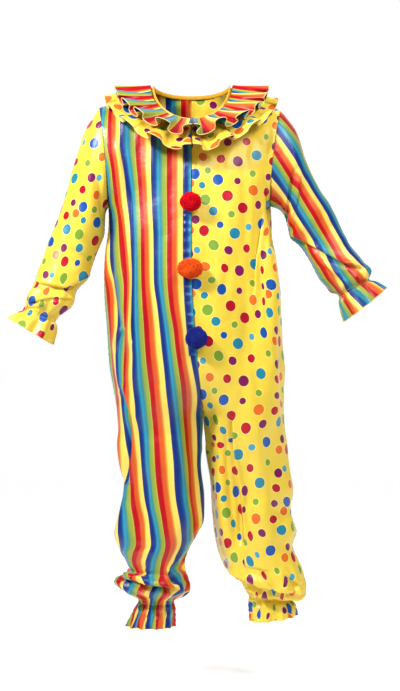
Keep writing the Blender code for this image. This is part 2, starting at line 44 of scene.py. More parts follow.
body = {
    "frontNeckDrop": 0.100,
    "backNeckDrop": 0.022,
    "neckHalfWidth": 0.108,
    "neckShoulderY": 0.005,
    "underarmDrop": 0.320,
    "crotchDrop": 0.8775,
    "forkHeight": 0.170,  # over which the trunk closes into two legs
    "easeHeight": 0.050,  # on each side of the crotch, where rows are averaged
    "easeSides": (0.08, 0.10),  # shares of a row left as they are at its two ends
    "easeSamples": 9,
    "inseamReach": 0.1155,  # from the inner seam to the rearmost line
    "inseamTurn": (-0.10, -0.60),  # furthest cosine of that line on the leg, and more in the trunk
    "innerBulge": (0.0004, 0.05),  # of the inner leg at the crotch, and more further down
    "bulgeBelow": (0.05, 0.15),  # where that growth starts below the crotch, and its height
    "centreCalm": 0.030,  # width along the middle seam without folds
    "crotchCalm": 0.080,
    "neckTurn": 62.0,  # degrees from the top of the armhole where the yoke's neck row ends
    "bowReach": 0.3,  # share of the yoke that is bowed like the body
    "foldEndPower": 0.7,
    "legGathers": 10,
    "smallGathers": (0.30, 2.3, 1.1),  # share of the height, times as many, shift
    "sleeveGathers": 9,
    "seamGap": 0.0003,
    "cloth": 0.0009,
}

# drop, middle seam x, right side, left side, front y, back y
torsoRows = (
    (0.0220, 0.000, 0.223, 0.211, -0.060, 0.075),
    (0.1000, 0.000, 0.223, 0.211, -0.086, 0.101),
    (0.2000, 0.000, 0.223, 0.211, -0.130, 0.124),
    (0.3200, 0.000, 0.223, 0.211, -0.148, 0.138),
    (0.3810, 0.000, 0.226, 0.214, -0.154, 0.137),
    (0.4600, 0.000, 0.235, 0.229, -0.159, 0.136),
    (0.5200, 0.001, 0.237, 0.235, -0.162, 0.139),
    (0.5720, 0.003, 0.235, 0.239, -0.164, 0.144),
    (0.6400, 0.008, 0.229, 0.242, -0.165, 0.151),
    (0.7050, 0.014, 0.225, 0.245, -0.164, 0.156),
    (0.7560, 0.019, 0.221, 0.251, -0.159, 0.155),
    (0.8070, 0.024, 0.212, 0.249, -0.143, 0.150),
    (0.8775, 0.031, 0.200, 0.247, -0.123, 0.135),
)
torsoColumns = ("drop", "middle", "right", "left", "front", "back")

# drop, inner x, outer x, centre y, half depth, gather height, rise of the outer side; first row is the crotch
legRows = {
    -1: (
        (0.8775, 0.0310, -0.2000, 0.006, 0.129, 0.000, 0.000),
        (0.9260, 0.0300, -0.1930, 0.004, 0.123, 0.000, 0.000),
        (0.9560, 0.0265, -0.1940, -0.002, 0.119, 0.000, 0.000),
        (1.0150, 0.0230, -0.1850, -0.012, 0.112, 0.000, 0.000),
        (1.0560, 0.0260, -0.1750, -0.018, 0.107, 0.000, 0.000),
        (1.0990, 0.0315, -0.1770, -0.024, 0.104, 0.000, 0.000),
        (1.1310, 0.0330, -0.1860, -0.028, 0.103, 0.000, 0.000),
        (1.1660, 0.0300, -0.1970, -0.031, 0.104, 0.000, 0.000),
        (1.1990, 0.0170, -0.2050, -0.034, 0.103, 0.000, 0.000),
        (1.2390, -0.0050, -0.1930, -0.037, 0.098, 0.000, 0.000),
        (1.2770, -0.0180, -0.1730, -0.040, 0.091, 0.001, 0.000),
        (1.3020, -0.0150, -0.1670, -0.042, 0.089, 0.002, 0.000),
        (1.3140, -0.0120, -0.1940, -0.043, 0.094, 0.004, 0.000),
        (1.3300, -0.0080, -0.2020, -0.043, 0.096, 0.005, 0.000),
        (1.3480, -0.0080, -0.1830, -0.044, 0.092, 0.006, 0.000),
        (1.3620, -0.0170, -0.1520, -0.044, 0.076, 0.005, 0.000),
        (1.3760, -0.0450, -0.1400, -0.044, 0.047, 0.003, 0.000),
        (1.3960, -0.0460, -0.1480, -0.044, 0.050, 0.005, 0.000),
        (1.4460, -0.0490, -0.1700, -0.044, 0.060, 0.009, 0.000),
    ),
    1: (
        (0.8775, 0.0310, 0.2470, 0.006, 0.129, 0.000, 0.000),
        (0.9260, 0.0350, 0.2500, 0.011, 0.124, 0.000, 0.000),
        (0.9560, 0.0400, 0.2550, 0.015, 0.120, 0.000, 0.000),
        (1.0150, 0.0470, 0.2610, 0.021, 0.113, 0.000, 0.000),
        (1.0560, 0.0510, 0.2700, 0.024, 0.109, 0.000, 0.000),
        (1.0990, 0.0540, 0.2750, 0.027, 0.104, 0.000, 0.000),
        (1.1310, 0.0570, 0.2660, 0.028, 0.104, 0.000, 0.000),
        (1.1660, 0.0600, 0.2750, 0.029, 0.104, 0.000, 0.000),
        (1.1990, 0.0630, 0.2860, 0.030, 0.102, 0.000, 0.000),
        (1.2390, 0.0710, 0.2750, 0.030, 0.099, 0.000, 0.000),
        (1.2770, 0.0830, 0.2900, 0.030, 0.095, 0.001, 0.000),
        (1.3040, 0.0970, 0.3000, 0.030, 0.092, 0.003, 0.000),
        (1.3220, 0.1130, 0.3040, 0.030, 0.091, 0.004, -0.004),
        (1.3360, 0.1370, 0.3060, 0.030, 0.086, 0.006, -0.009),
        (1.3520, 0.1470, 0.3050, 0.030, 0.080, 0.006, -0.014),
        (1.3650, 0.1530, 0.3000, 0.030, 0.066, 0.005, -0.018),
        (1.3740, 0.1570, 0.2760, 0.030, 0.047, 0.003, -0.013),
        (1.3890, 0.1580, 0.2770, 0.030, 0.050, 0.005, -0.004),
        (1.4430, 0.1640, 0.2830, 0.030, 0.061, 0.009, 0.016),
    ),
}

# ring by ring from the armhole: top x, top drop, underside x, underside drop, centre y, half depth, scoop,
# gather
sleeveRows = {
    -1: (
        (0.248, 0.054, 0.223, 0.320, -0.005, 0.093, 0.006, 0.000),
        (0.269, 0.082, 0.229, 0.330, -0.006, 0.092, 0.003, 0.000),
        (0.287, 0.118, 0.232, 0.345, -0.006, 0.087, 0.000, 0.000),
        (0.312, 0.200, 0.233, 0.372, -0.006, 0.080, 0.000, 0.000),
        (0.3335, 0.265, 0.236, 0.401, -0.007, 0.074, 0.000, 0.000),
        (0.3645, 0.359, 0.254, 0.447, -0.012, 0.067, 0.000, 0.000),
        (0.3915, 0.445, 0.276, 0.502, -0.020, 0.062, 0.000, 0.000),
        (0.4200, 0.515, 0.304, 0.545, -0.029, 0.061, 0.000, 0.001),
        (0.4400, 0.566, 0.331, 0.592, -0.035, 0.060, 0.000, 0.004),
        (0.4480, 0.595, 0.364, 0.627, -0.038, 0.045, 0.000, 0.002),
        (0.4620, 0.604, 0.364, 0.645, -0.040, 0.050, 0.000, 0.005),
        (0.4880, 0.622, 0.374, 0.690, -0.043, 0.062, 0.000, 0.008),
    ),
    1: (
        (0.239, 0.062, 0.211, 0.320, -0.005, 0.093, 0.008, 0.000),
        (0.266, 0.088, 0.225, 0.324, -0.005, 0.092, 0.004, 0.000),
        (0.291, 0.130, 0.239, 0.331, -0.004, 0.087, 0.000, 0.000),
        (0.311, 0.196, 0.251, 0.347, -0.003, 0.080, 0.000, 0.000),
        (0.342, 0.261, 0.261, 0.378, -0.003, 0.073, 0.000, 0.000),
        (0.385, 0.330, 0.282, 0.416, -0.006, 0.068, 0.000, 0.000),
        (0.419, 0.408, 0.317, 0.466, -0.014, 0.063, 0.000, 0.000),
        (0.456, 0.465, 0.354, 0.525, -0.024, 0.061, 0.000, 0.001),
        (0.477, 0.494, 0.376, 0.550, -0.030, 0.060, 0.000, 0.004),
        (0.474, 0.519, 0.396, 0.562, -0.034, 0.045, 0.000, 0.002),
        (0.491, 0.527, 0.398, 0.582, -0.036, 0.050, 0.000, 0.005),
        (0.519, 0.545, 0.414, 0.628, -0.040, 0.062, 0.000, 0.008),
    ),
}

# main folds of body and legs: side, angle (90 front, 180 side seam, 270 back), drift, top drop, bottom drop,
# width in degrees, height
foldRows = (
    (-1, 150, -24, 0.30, 0.82, 13, 0.014),
    (-1, 170, -26, 0.32, 0.80, 11, -0.013),
    (-1, 126, -12, 0.38, 0.86, 11, -0.008),
    (-1, 212, 20, 0.30, 0.82, 14, 0.014),
    (-1, 190, 24, 0.34, 0.78, 11, -0.011),
    (-1, 245, 6, 0.45, 0.86, 12, -0.008),
    (-1, 146, 10, 0.84, 1.24, 15, 0.014),
    (-1, 112, 8, 0.88, 1.32, 15, -0.013),
    (-1, 70, -14, 0.93, 1.30, 16, 0.012),
    (-1, 230, -14, 0.86, 1.30, 18, 0.014),
    (-1, 285, -8, 0.90, 1.32, 18, -0.012),
    (1, 158, -16, 0.30, 0.84, 12, 0.015),
    (1, 138, -14, 0.34, 0.82, 11, -0.012),
    (1, 197, 8, 0.33, 0.80, 11, -0.013),
    (1, 214, 18, 0.30, 0.82, 13, 0.014),
    (1, 240, 12, 0.40, 0.86, 12, -0.009),
    (1, 44, 6, 0.90, 1.34, 15, 0.014),
    (1, 76, 8, 0.89, 1.32, 15, -0.014),
    (1, 112, 6, 0.86, 1.28, 16, 0.013),
    (1, 228, -12, 0.86, 1.31, 18, 0.014),
    (1, 282, -10, 0.90, 1.33, 18, -0.012),
)

# main folds of the sleeves: side, ring, angle from the top over the front, length in rings, width in
# degrees, height
sleeveFoldRows = (
    (-1, 6.3, 150, 0.45, 70, 0.007),
    (-1, 7.2, 110, 0.40, 80, -0.006),
    (-1, 7.8, 130, 0.40, 90, 0.007),
    (-1, 3.6, 100, 1.20, 24, 0.008),
    (-1, 4.0, 250, 1.20, 26, 0.008),
    (1, 4.6, 160, 0.45, 60, 0.009),
    (1, 5.4, 120, 0.45, 70, -0.006),
    (1, 6.8, 130, 0.50, 80, 0.007),
    (1, 3.4, 75, 1.20, 24, 0.008),
    (1, 3.8, 245, 1.20, 26, 0.008),
)

# smaller folds as lines over the cloth seen from the front: width, ridge on the side that lies over, trough
# on the other side, slide of the two sides over each other, and the points (x, drop) of the line; where the
# line goes down, the side of smaller x lies over, and where it goes up, the side of greater x
creaseRows = {
    "right_front": (
        (0.008, 0.003, 0.006, 0.000, ((-0.190, 0.172), (-0.172, 0.301), (-0.160, 0.450), (-0.161, 0.680))),
        (0.006, 0.004, 0.004, 0.004, ((-0.178, 0.646), (-0.192, 0.659), (-0.203, 0.683), (-0.205, 0.712))),
        (0.009, 0.005, 0.007, 0.006, ((-0.166, 1.053), (-0.158, 0.982), (-0.155, 0.885), (-0.179, 0.812))),
        (0.005, 0.002, 0.001, 0.000, ((-0.150, 0.618), (-0.121, 0.623))),
        (0.005, 0.002, 0.001, 0.000, ((-0.116, 0.796), (-0.069, 0.801))),
        (0.004, 0.002, 0.001, 0.000, ((-0.200, 0.819), (-0.176, 0.822))),
        (0.010, 0.013, 0.017, 0.012, ((-0.046, 1.334), (-0.070, 1.325), (-0.112, 1.320), (-0.164, 1.316),
                                      (-0.192, 1.309))),
        (0.007, 0.004, 0.006, 0.003, ((-0.008, 1.243), (-0.030, 1.262), (-0.062, 1.296), (-0.052, 1.318),
                                      (-0.030, 1.335))),
        (0.009, 0.003, 0.002, 0.000, ((-0.147, 1.233), (-0.066, 1.228))),
        (0.007, 0.002, 0.002, 0.000, ((-0.145, 1.285), (-0.100, 1.282))),
    ),
    "right_back": (
        (0.010, 0.004, 0.005, 0.000, ((-0.185, 0.240), (-0.165, 0.360), (-0.150, 0.480))),
        (0.006, 0.002, 0.002, 0.000, ((-0.120, 0.640), (-0.040, 0.660))),
        (0.006, 0.003, 0.002, 0.000, ((-0.160, 0.700), (-0.090, 0.735))),
        (0.009, 0.004, 0.005, 0.003, ((-0.150, 0.900), (-0.138, 0.980), (-0.125, 1.060))),
        (0.009, 0.003, 0.004, 0.000, ((-0.070, 1.020), (-0.055, 1.170))),
        (0.010, 0.009, 0.011, 0.008, ((-0.025, 1.326), (-0.090, 1.328), (-0.180, 1.306))),
        (0.009, 0.003, 0.003, 0.000, ((-0.150, 1.235), (-0.060, 1.225))),
    ),
    "left_front": (
        (0.008, 0.005, 0.006, 0.006, ((0.167, 0.560), (0.172, 0.479), (0.180, 0.424), (0.191, 0.350))),
        (0.009, 0.002, 0.013, 0.000, ((0.206, 0.285), (0.210, 0.440))),
        (0.009, 0.008, 0.013, 0.007, ((0.139, 1.215), (0.134, 1.126), (0.120, 1.020), (0.113, 0.943),
                                      (0.108, 0.885))),
        (0.014, 0.002, 0.004, 0.000, ((0.039, 0.798), (0.054, 1.021))),
        (0.026, 0.008, 0.016, 0.000, ((0.142, 1.240), (0.133, 1.130), (0.116, 1.020), (0.106, 0.920))),
        (0.024, 0.006, 0.008, 0.000, ((0.178, 0.930), (0.198, 1.080), (0.214, 1.210))),
        (0.011, 0.011, 0.010, 0.005, ((0.297, 1.366), (0.215, 1.346), (0.155, 1.324), (0.096, 1.308))),
        (0.008, 0.010, 0.012, 0.008, ((0.300, 1.388), (0.267, 1.381), (0.192, 1.368), (0.146, 1.350))),
        (0.006, 0.003, 0.003, 0.001, ((0.201, 1.294), (0.144, 1.283))),
        (0.006, 0.004, 0.004, 0.002, ((0.290, 1.338), (0.248, 1.309))),
    ),
    "left_back": (
        (0.010, 0.004, 0.005, 0.000, ((0.155, 0.500), (0.170, 0.370), (0.185, 0.250))),
        (0.006, 0.002, 0.002, 0.000, ((0.050, 0.655), (0.130, 0.640))),
        (0.006, 0.003, 0.002, 0.000, ((0.100, 0.735), (0.180, 0.700))),
        (0.009, 0.004, 0.005, 0.003, ((0.190, 1.080), (0.198, 0.990), (0.200, 0.900))),
        (0.009, 0.003, 0.004, 0.000, ((0.130, 1.190), (0.110, 1.000))),
        (0.010, 0.009, 0.010, 0.008, ((0.285, 1.346), (0.200, 1.340), (0.110, 1.312))),
        (0.009, 0.003, 0.003, 0.000, ((0.120, 1.240), (0.230, 1.230))),
    ),
    "right_sleeve": (
        (0.008, 0.005, 0.006, 0.004, ((-0.268, 0.510), (-0.331, 0.542), (-0.407, 0.529))),
        (0.006, 0.003, 0.004, 0.002, ((-0.310, 0.573), (-0.365, 0.568), (-0.430, 0.581))),
        (0.005, 0.002, 0.003, 0.000, ((-0.391, 0.592), (-0.438, 0.594))),
        (0.007, 0.003, 0.011, 0.000, ((-0.231, 0.210), (-0.215, 0.327))),
        (0.010, 0.002, 0.003, 0.000, ((-0.244, 0.476), (-0.318, 0.432))),
    ),
    "left_sleeve": (
        (0.008, 0.005, 0.008, -0.006, ((0.258, 0.372), (0.264, 0.332), (0.271, 0.288), (0.281, 0.236))),
        (0.007, 0.006, 0.006, 0.005, ((0.450, 0.487), (0.403, 0.476), (0.301, 0.416), (0.251, 0.395))),
        (0.007, 0.002, 0.005, 0.000, ((0.259, 0.377), (0.251, 0.345))),
        (0.007, 0.004, 0.004, 0.002, ((0.413, 0.536), (0.356, 0.481))),
        (0.006, 0.004, 0.003, 0.000, ((0.463, 0.529), (0.453, 0.487))),
    ),
}

crease = {
    "waver": 0.10,  # this and the next three in shares of the fold's width
    "crest": 0.75,
    "overWidth": 0.85,
    "underWidth": 0.75,
    "waverTurns": (7, 90),  # radians along the line, and from place to place
    "ends": 0.16,  # share of the length over which both ends rise
}

# places of five or six lengthwise threads of each front panel: drop, then the x of each thread; the threads
# lie at these distances over the cloth from the centre front
threadMarks = {
    "right_front": (0.061, 0.106, 0.151, 0.196, 0.241, 0.286),
    "left_front": (0.060, 0.100, 0.150, 0.200, 0.245),
}
threadRows = {
    "right_front": (
        (0.172, -0.058, -0.100, -0.141, -0.184, -0.217, -0.244),
        (0.217, -0.058, -0.100, -0.140, -0.176, -0.209, -0.231),
        (0.301, -0.058, -0.100, -0.135, -0.166, -0.198, -0.223),
        (0.392, -0.057, -0.096, -0.129, -0.158, -0.184, -0.219),
        (0.473, -0.057, -0.095, -0.128, -0.155, -0.175, -0.215),
        (0.533, -0.055, -0.094, -0.127, -0.155, -0.170, -0.205),
        (0.593, -0.050, -0.086, -0.123, -0.157, -0.173, -0.197),
        (0.653, -0.040, -0.079, -0.118, -0.158, -0.176, -0.193),
        (0.693, -0.036, -0.074, -0.116, -0.155, -0.175, -0.197),
        (0.799, -0.021, -0.060, -0.106, -0.149, -0.173, -0.190),
        (0.923, -0.009, -0.048, -0.094, -0.134, -0.157, -0.173),
        (0.996, -0.003, -0.041, -0.088, -0.128, -0.158, -0.163),
        (1.102, 0.004, -0.033, -0.077, -0.117, -0.155, -0.184),
        (1.181, 0.013, -0.021, -0.067, -0.102, -0.141, -0.186),
        (1.220, 0.010, -0.022, -0.062, -0.099, -0.139, -0.182),
        (1.265, -0.014, -0.044, -0.072, -0.114, -0.153, -0.186),
        (1.285, -0.027, -0.057, -0.076, -0.116, -0.154, -0.185),
        (1.305, -0.017, -0.051, -0.076, -0.118, -0.154, -0.184),
        (1.318, -0.012, -0.040, -0.073, -0.113, -0.148, -0.180),
        (1.328, -0.008, -0.024, -0.063, -0.096, -0.131, -0.174),
        (1.346, -0.012, -0.028, -0.070, -0.103, -0.139, -0.174),
        (1.370, -0.048, -0.062, -0.085, -0.106, -0.126, -0.138),
        (1.385, -0.049, -0.063, -0.088, -0.108, -0.126, -0.138),
        (1.446, -0.044, -0.061, -0.092, -0.116, -0.139, -0.154),
    ),
    "left_front": (
        (0.200, 0.057, 0.095, 0.143, 0.190, 0.222),
        (0.350, 0.057, 0.095, 0.143, 0.187, 0.208),
        (0.440, 0.056, 0.097, 0.144, 0.180, 0.190),
        (0.490, 0.069, 0.104, 0.144, 0.178, 0.192),
        (0.550, 0.067, 0.103, 0.148, 0.184, 0.200),
        (0.610, 0.062, 0.105, 0.150, 0.186, 0.206),
        (0.690, 0.065, 0.104, 0.155, 0.193, 0.220),
        (0.780, 0.074, 0.110, 0.156, 0.199, 0.230),
        (0.830, 0.073, 0.110, 0.157, 0.203, 0.236),
        (0.880, 0.070, 0.106, 0.154, 0.199, 0.235),
        (0.920, 0.078, 0.111, 0.152, 0.196, 0.231),
        (0.970, 0.090, 0.113, 0.153, 0.200, 0.233),
        (1.020, 0.098, 0.120, 0.154, 0.197, 0.233),
        (1.080, 0.111, 0.129, 0.158, 0.198, 0.240),
        (1.140, 0.111, 0.130, 0.159, 0.199, 0.250),
        (1.180, 0.114, 0.133, 0.162, 0.198, 0.246),
        (1.220, 0.114, 0.140, 0.166, 0.206, 0.246),
        (1.260, 0.112, 0.141, 0.173, 0.206, 0.248),
        (1.300, 0.125, 0.155, 0.188, 0.220, 0.250),
        (1.374, 0.178, 0.193, 0.212, 0.231, 0.248),
        (1.434, 0.175, 0.194, 0.217, 0.241, 0.262),
    ),
}

# the inner cloth of the left thigh lies lower in its fold: which fold line of the left front, how wide the
# change is, where it starts, where it is full, and how far
slip = {"fold": 2, "width": 0.012, "from": 0.930, "to": 1.020, "far": 0.040}

# cloth across from the centre seam line at the side seam of the front panels: drop, distance
sideRows = {
    "right_front": (
        (0.320, 0.314),
        (0.450, 0.335),
        (0.600, 0.365),
        (0.750, 0.366),
        (0.900, 0.370),
        (1.000, 0.362),
        (1.100, 0.350),
        (1.200, 0.348),
        (1.300, 0.345),
        (1.446, 0.350),
    ),
    "left_front": (
        (0.320, 0.300),
        (0.450, 0.345),
        (0.600, 0.355),
        (0.750, 0.340),
        (0.900, 0.325),
        (1.100, 0.330),
        (1.300, 0.345),
        (1.434, 0.345),
    ),
}

# cloth across from the centre seam line on the back of each leg: drop, inner seam, rearmost line, side seam
backRows = {
    -1: (
        (0.7075, -0.056, 0.126, 0.342),
        (0.8775, -0.056, 0.138, 0.334),
        (0.9500, -0.047, 0.141, 0.330),
        (1.0850, -0.034, 0.141, 0.326),
        (1.1500, -0.026, 0.150, 0.328),
        (1.2200, -0.020, 0.160, 0.328),
        (1.3000, -0.022, 0.156, 0.322),
        (1.3760, -0.030, 0.150, 0.318),
        (1.4460, -0.035, 0.150, 0.318),
    ),
    1: (
        (0.7075, -0.061, 0.126, 0.337),
        (0.8775, -0.061, 0.136, 0.319),
        (0.9500, -0.044, 0.142, 0.320),
        (1.0850, -0.024, 0.150, 0.322),
        (1.2100, -0.016, 0.157, 0.322),
        (1.3300, -0.014, 0.160, 0.318),
        (1.4335, -0.020, 0.160, 0.318),
    ),
}

threads = {
    "least": 1e-5,  # between two threads
    "offSeam": 1.6,  # cloth for each metre that a thread lies past the side seam
    "offCentre": 1.1,  # and for each metre before the inner seam
    "centreStart": 0.0001,
    "centreDrop": 0.70,  # from here down the first thread places the cloth at the inner seam
    "centreHeight": 0.15,
    "seamHeight": 0.10,  # below the underarm, where the side seam's own distance comes in
    "seamEnd": 1.360,  # where it has gone out again
    "seamEndHeight": 0.05,
}


def smoothCurve(levels, values, at):
    # cubic curve through the rows of a table, with the slope at a row taken from both neighbours
    levels = np.asarray(levels, dtype=float)
    values = np.asarray(values, dtype=float)
    slopes = np.gradient(values, levels)
    at = np.clip(at, levels[0], levels[-1])
    low = np.clip(np.searchsorted(levels, at, side="right") - 1, 0, len(levels) - 2)
    span = levels[low + 1] - levels[low]
    t = (at - levels[low]) / span
    start = (1 + 2 * t) * (1 - t) ** 2 * values[low] + t * (1 - t) ** 2 * span * slopes[low]
    end = t * t * (3 - 2 * t) * values[low + 1] - t * t * (1 - t) * span * slopes[low + 1]
    return start + end


def readTable(rows, number, at):
    # smooth curve of one column of a table whose first column is the level
    return smoothCurve([row[0] for row in rows], [row[number] for row in rows], at)


def torso(name, drop):
    # one named column of the torso table at a level
    return readTable(torsoRows, torsoColumns.index(name), drop)


def smoothStep(t):
    # 3t^2 - 2t^3, held at 0 and 1 outside
    t = np.clip(t, 0, 1)
    return t * t * (3 - 2 * t)


def softNoise(across, down, seed):
    # smooth noise of about -1 to 1: random heights on a unit lattice, blended with smooth steps
    size = 97
    table = np.random.default_rng(seed).uniform(-1, 1, (size, size))
    i = np.floor(across).astype(int)
    j = np.floor(down).astype(int)
    s = smoothStep(across - i)
    t = smoothStep(down - j)
    i, j, nextI, nextJ = i % size, j % size, (i + 1) % size, (j + 1) % size
    top = table[i, j] * (1 - s) + table[nextI, j] * s
    low = table[i, nextJ] * (1 - s) + table[nextI, nextJ] * s
    return top * (1 - t) + low * t


def foldHeight(side, degrees, drop):
    # sum of bell-shaped folds, rise exp(-(away / width)^2), each drifting round the body on its way down and
    # dying out at both ends with a power of the sine
    height = np.zeros(np.broadcast(degrees, drop).shape)
    for foldSide, centre, drift, top, bottom, width, rise in foldRows:
        if foldSide != side:
            continue
        run = np.clip((drop - top) / (bottom - top), 0, 1)
        away = (degrees - centre - drift * run + 180) % 360 - 180
        ends = np.sin(math.pi * run) ** body["foldEndPower"]
        height = height + rise * ends * np.exp(-((away / width) ** 2))
    return height


def neckPoint(turn):
    # half ellipses in plan: x = half width * sin turn; y and drop run from the edge to the shoulder with
    # |cos turn|
    reach = np.abs(np.cos(turn))
    ahead = np.cos(turn) > 0
    drop = np.where(ahead, body["frontNeckDrop"], body["backNeckDrop"])
    edge = np.where(ahead, torso("front", body["frontNeckDrop"]), torso("back", body["backNeckDrop"]))
    y = body["neckShoulderY"] + (edge - body["neckShoulderY"]) * reach
    return np.stack((body["neckHalfWidth"] * np.sin(turn), y, -drop * reach), axis=-1)


def unit(vectors):
    # vectors over their length
    return vectors / np.maximum(np.linalg.norm(vectors, axis=-1, keepdims=True), 1e-12)


def sleeveRing(side, ring, angle):
    # middle + half cos angle + forward depth sin angle: an upright ellipse between the top and underside
    # points, with gathers and bell-shaped folds outwards; ring and angle broadcast
    numbers = np.arange(len(sleeveRows[side]))
    name = ("top", "topDrop", "under", "underDrop", "centre", "depth", "scoop", "gather")
    value = {n: smoothCurve(numbers, [row[i] for row in sleeveRows[side]], ring) for i, n in enumerate(name)}
    zero = np.zeros_like(value["top"])
    top = np.stack((side * value["top"], zero, -value["topDrop"]), axis=-1)
    under = np.stack((side * value["under"], zero, -value["underDrop"]), axis=-1)
    half = (top - under) / 2
    upward = unit(half)
    forward = np.array((0.0, -1.0, 0.0))
    cosine = np.cos(angle)[..., None]
    sine = np.sin(angle)[..., None]
    points = (top + under) / 2 + half * cosine + forward * value["depth"][..., None] * sine
    points[..., 1] += value["centre"]
    points[..., 0] -= side * value["scoop"] * np.sin(angle) ** 2
    lift = value["gather"] * np.cos(body["sleeveGathers"] * angle)
    for foldSide, place, centre, length, width, rise in sleeveFoldRows:
        if foldSide == side:
            away = (np.degrees(angle) - centre + 180) % 360 - 180
            lift = lift + rise * np.exp(-(((ring - place) / length) ** 2) - (away / width) ** 2)
    return points + (upward * cosine + forward * sine) * lift[..., None]


def yokeGrid(side, front, steps, share):
    # rows from the centre line or neckline to the armhole: inner + (outer - inner) across, with across and bow
    # straight and square near the neck, and the sine and circle of the body's bow near the underarm
    turn = np.maximum(steps - 0.5, 0) * math.pi
    neckDrop = body["frontNeckDrop"] if front else body["backNeckDrop"]
    drop = body["underarmDrop"] + (neckDrop - body["underarmDrop"]) * np.minimum(steps / 0.5, 1)
    centre = torso("front" if front else "back", drop)
    inner = neckPoint(turn if front else math.pi - turn) * np.array((side, 1, 1))
    below = (steps < 0.5)[:, None]
    inner = np.where(below, np.stack((0 * drop, centre, -drop), axis=-1), inner)
    angle = np.radians(np.interp(steps, (0.0, 0.5, 1.0), (180.0, body["neckTurn"], 0.0)))
    outer = sleeveRing(side, np.zeros_like(angle), angle if front else -angle)
    blend = np.minimum(steps / body["bowReach"], 1.0)[:, None]
    across = (1 - blend) * np.sin(share * math.pi / 2) + blend * share
    bow = (1 - blend) * (1 - np.sqrt(np.maximum(1 - across**2, 0))) + blend * across**2
    points = np.empty((len(steps), len(share), 3))
    points[..., 0] = inner[:, :1] + (outer[:, :1] - inner[:, :1]) * across
    points[..., 1] = inner[:, 1:2] + (outer[:, 1:2] - inner[:, 1:2]) * bow
    points[..., 2] = inner[:, 2:] + (outer[:, 2:] - inner[:, 2:]) * across
    return points


def forkShare(drop):
    # 0 in the trunk and 1 in the legs, rising with the square of the height over the last stretch of the
    # trunk
    share = np.maximum(0.0, 1 - (body["crotchDrop"] - drop) / body["forkHeight"]) ** 2
    return np.where(drop > body["crotchDrop"], 1.0, share)


def bodyPoints(side, drop, angle):
    # x = middle + side (fork r - r cos angle) and y = centre - depth sin angle: half ellipses below the
    # underarm that close into the leg's ellipses as fork goes from 0 to 1, with folds and gathers outwards;
    # also gives the radii r
    middle = torso("middle", drop)
    width = np.abs(side * torso("right" if side < 0 else "left", drop) - middle)
    fork = forkShare(drop)
    ahead, behind = torso("front", drop), torso("back", drop)
    legs = [readTable(legRows[side], number, drop) for number in range(1, 7)]
    isLeg = drop > body["crotchDrop"]
    middle = np.where(isLeg, legs[0], middle)
    radius = np.where(isLeg, np.abs(legs[1] - legs[0]) / 2, width / (1 + fork))
    centre = np.where(isLeg, legs[2], (ahead + behind) / 2)
    depth = np.where(isLeg, legs[3], (behind - ahead) / 2)
    gather = np.where(isLeg, legs[4], 0.0)
    tilt = np.where(isLeg, legs[5], 0.0)
    fork, middle, radius, centre, depth, gather, tilt = (
        values[:, None] for values in (fork, middle, radius, centre, depth, gather, tilt)
    )
    x = fork * radius - radius * np.cos(angle)
    calm = 1 - np.exp(-((x / body["centreCalm"]) ** 2))
    calm = np.maximum(calm, np.clip((drop[:, None] - body["crotchDrop"]) / body["crotchCalm"], 0, 1))
    lift = foldHeight(side, np.degrees(angle), drop[:, None]) * calm
    lift = lift + gather * np.cos(body["legGathers"] * angle)
    small, times, phase = body["smallGathers"]
    ripple = np.cos((times * body["legGathers"]) * angle + phase) * np.sin(angle / 2) ** 2
    lift = lift + small * gather * ripple
    points = np.empty(angle.shape + (3,))
    points[..., 0] = middle + side * (x - lift * np.cos(angle))
    points[..., 1] = centre - (depth + lift) * np.sin(angle)
    points[..., 2] = -drop[:, None] + tilt * (0.5 - 0.5 * np.cos(angle))
    return points, radius


def bodyGrid(side, front, drop, share):
    # rows of the body with its angles, and the angle of the line at the back from which the leg's cloth is
    # measured, a fixed reach from the inner seam; close to the crotch each row is the mean of its
    # neighbours at equal angles
    fork = forkShare(drop)
    start = np.arccos(np.minimum(fork, 1.0))
    angle = start[:, None] + (math.pi - start[:, None]) * share
    if not front:
        angle = 2 * math.pi - angle
    points, radius = bodyPoints(side, drop, angle)
    near = smoothStep(1 - np.abs(drop - body["crotchDrop"]) / body["easeHeight"])[:, None]
    inner, outer = body["easeSides"]
    near = near * (smoothStep(share / inner) * smoothStep((1 - share) / outer))
    offsets = np.linspace(-0.9, 0.9, body["easeSamples"])
    weights = (1 - np.abs(offsets)) / np.sum(1 - np.abs(offsets))
    mean = sum(
        weight * bodyPoints(side, drop + offset * body["easeHeight"] / 2, angle)[0]
        for offset, weight in zip(offsets, weights)
    )
    points = points + near[..., None] * (mean - points)
    single = 1 - fork[:, None]
    furthest = body["inseamTurn"][0] + body["inseamTurn"][1] * single
    rearmost = np.arccos(np.maximum(1 - body["inseamReach"] / radius - single, furthest))
    return points, angle, rearmost[:, 0]


def heldApart(side, drop, points):
    # side x >= side inner - bulge: nothing crosses the middle seam above the crotch, and below it the inner
    # side of a leg may bulge more with the square of the way down
    inner = np.where(drop > body["crotchDrop"], readTable(legRows[side], 1, drop), torso("middle", drop))
    (least, more), (below, height) = body["innerBulge"], body["bulgeBelow"]
    bulge = least + more * np.clip((drop - body["crotchDrop"] - below) / height, 0, 1) ** 2
    held = points.copy()
    held[..., 0] = side * np.maximum(side * points[..., 0], (side * inner - bulge)[:, None])
    seam = drop <= body["crotchDrop"]
    held[seam, 0, 0] = inner[seam]
    return held


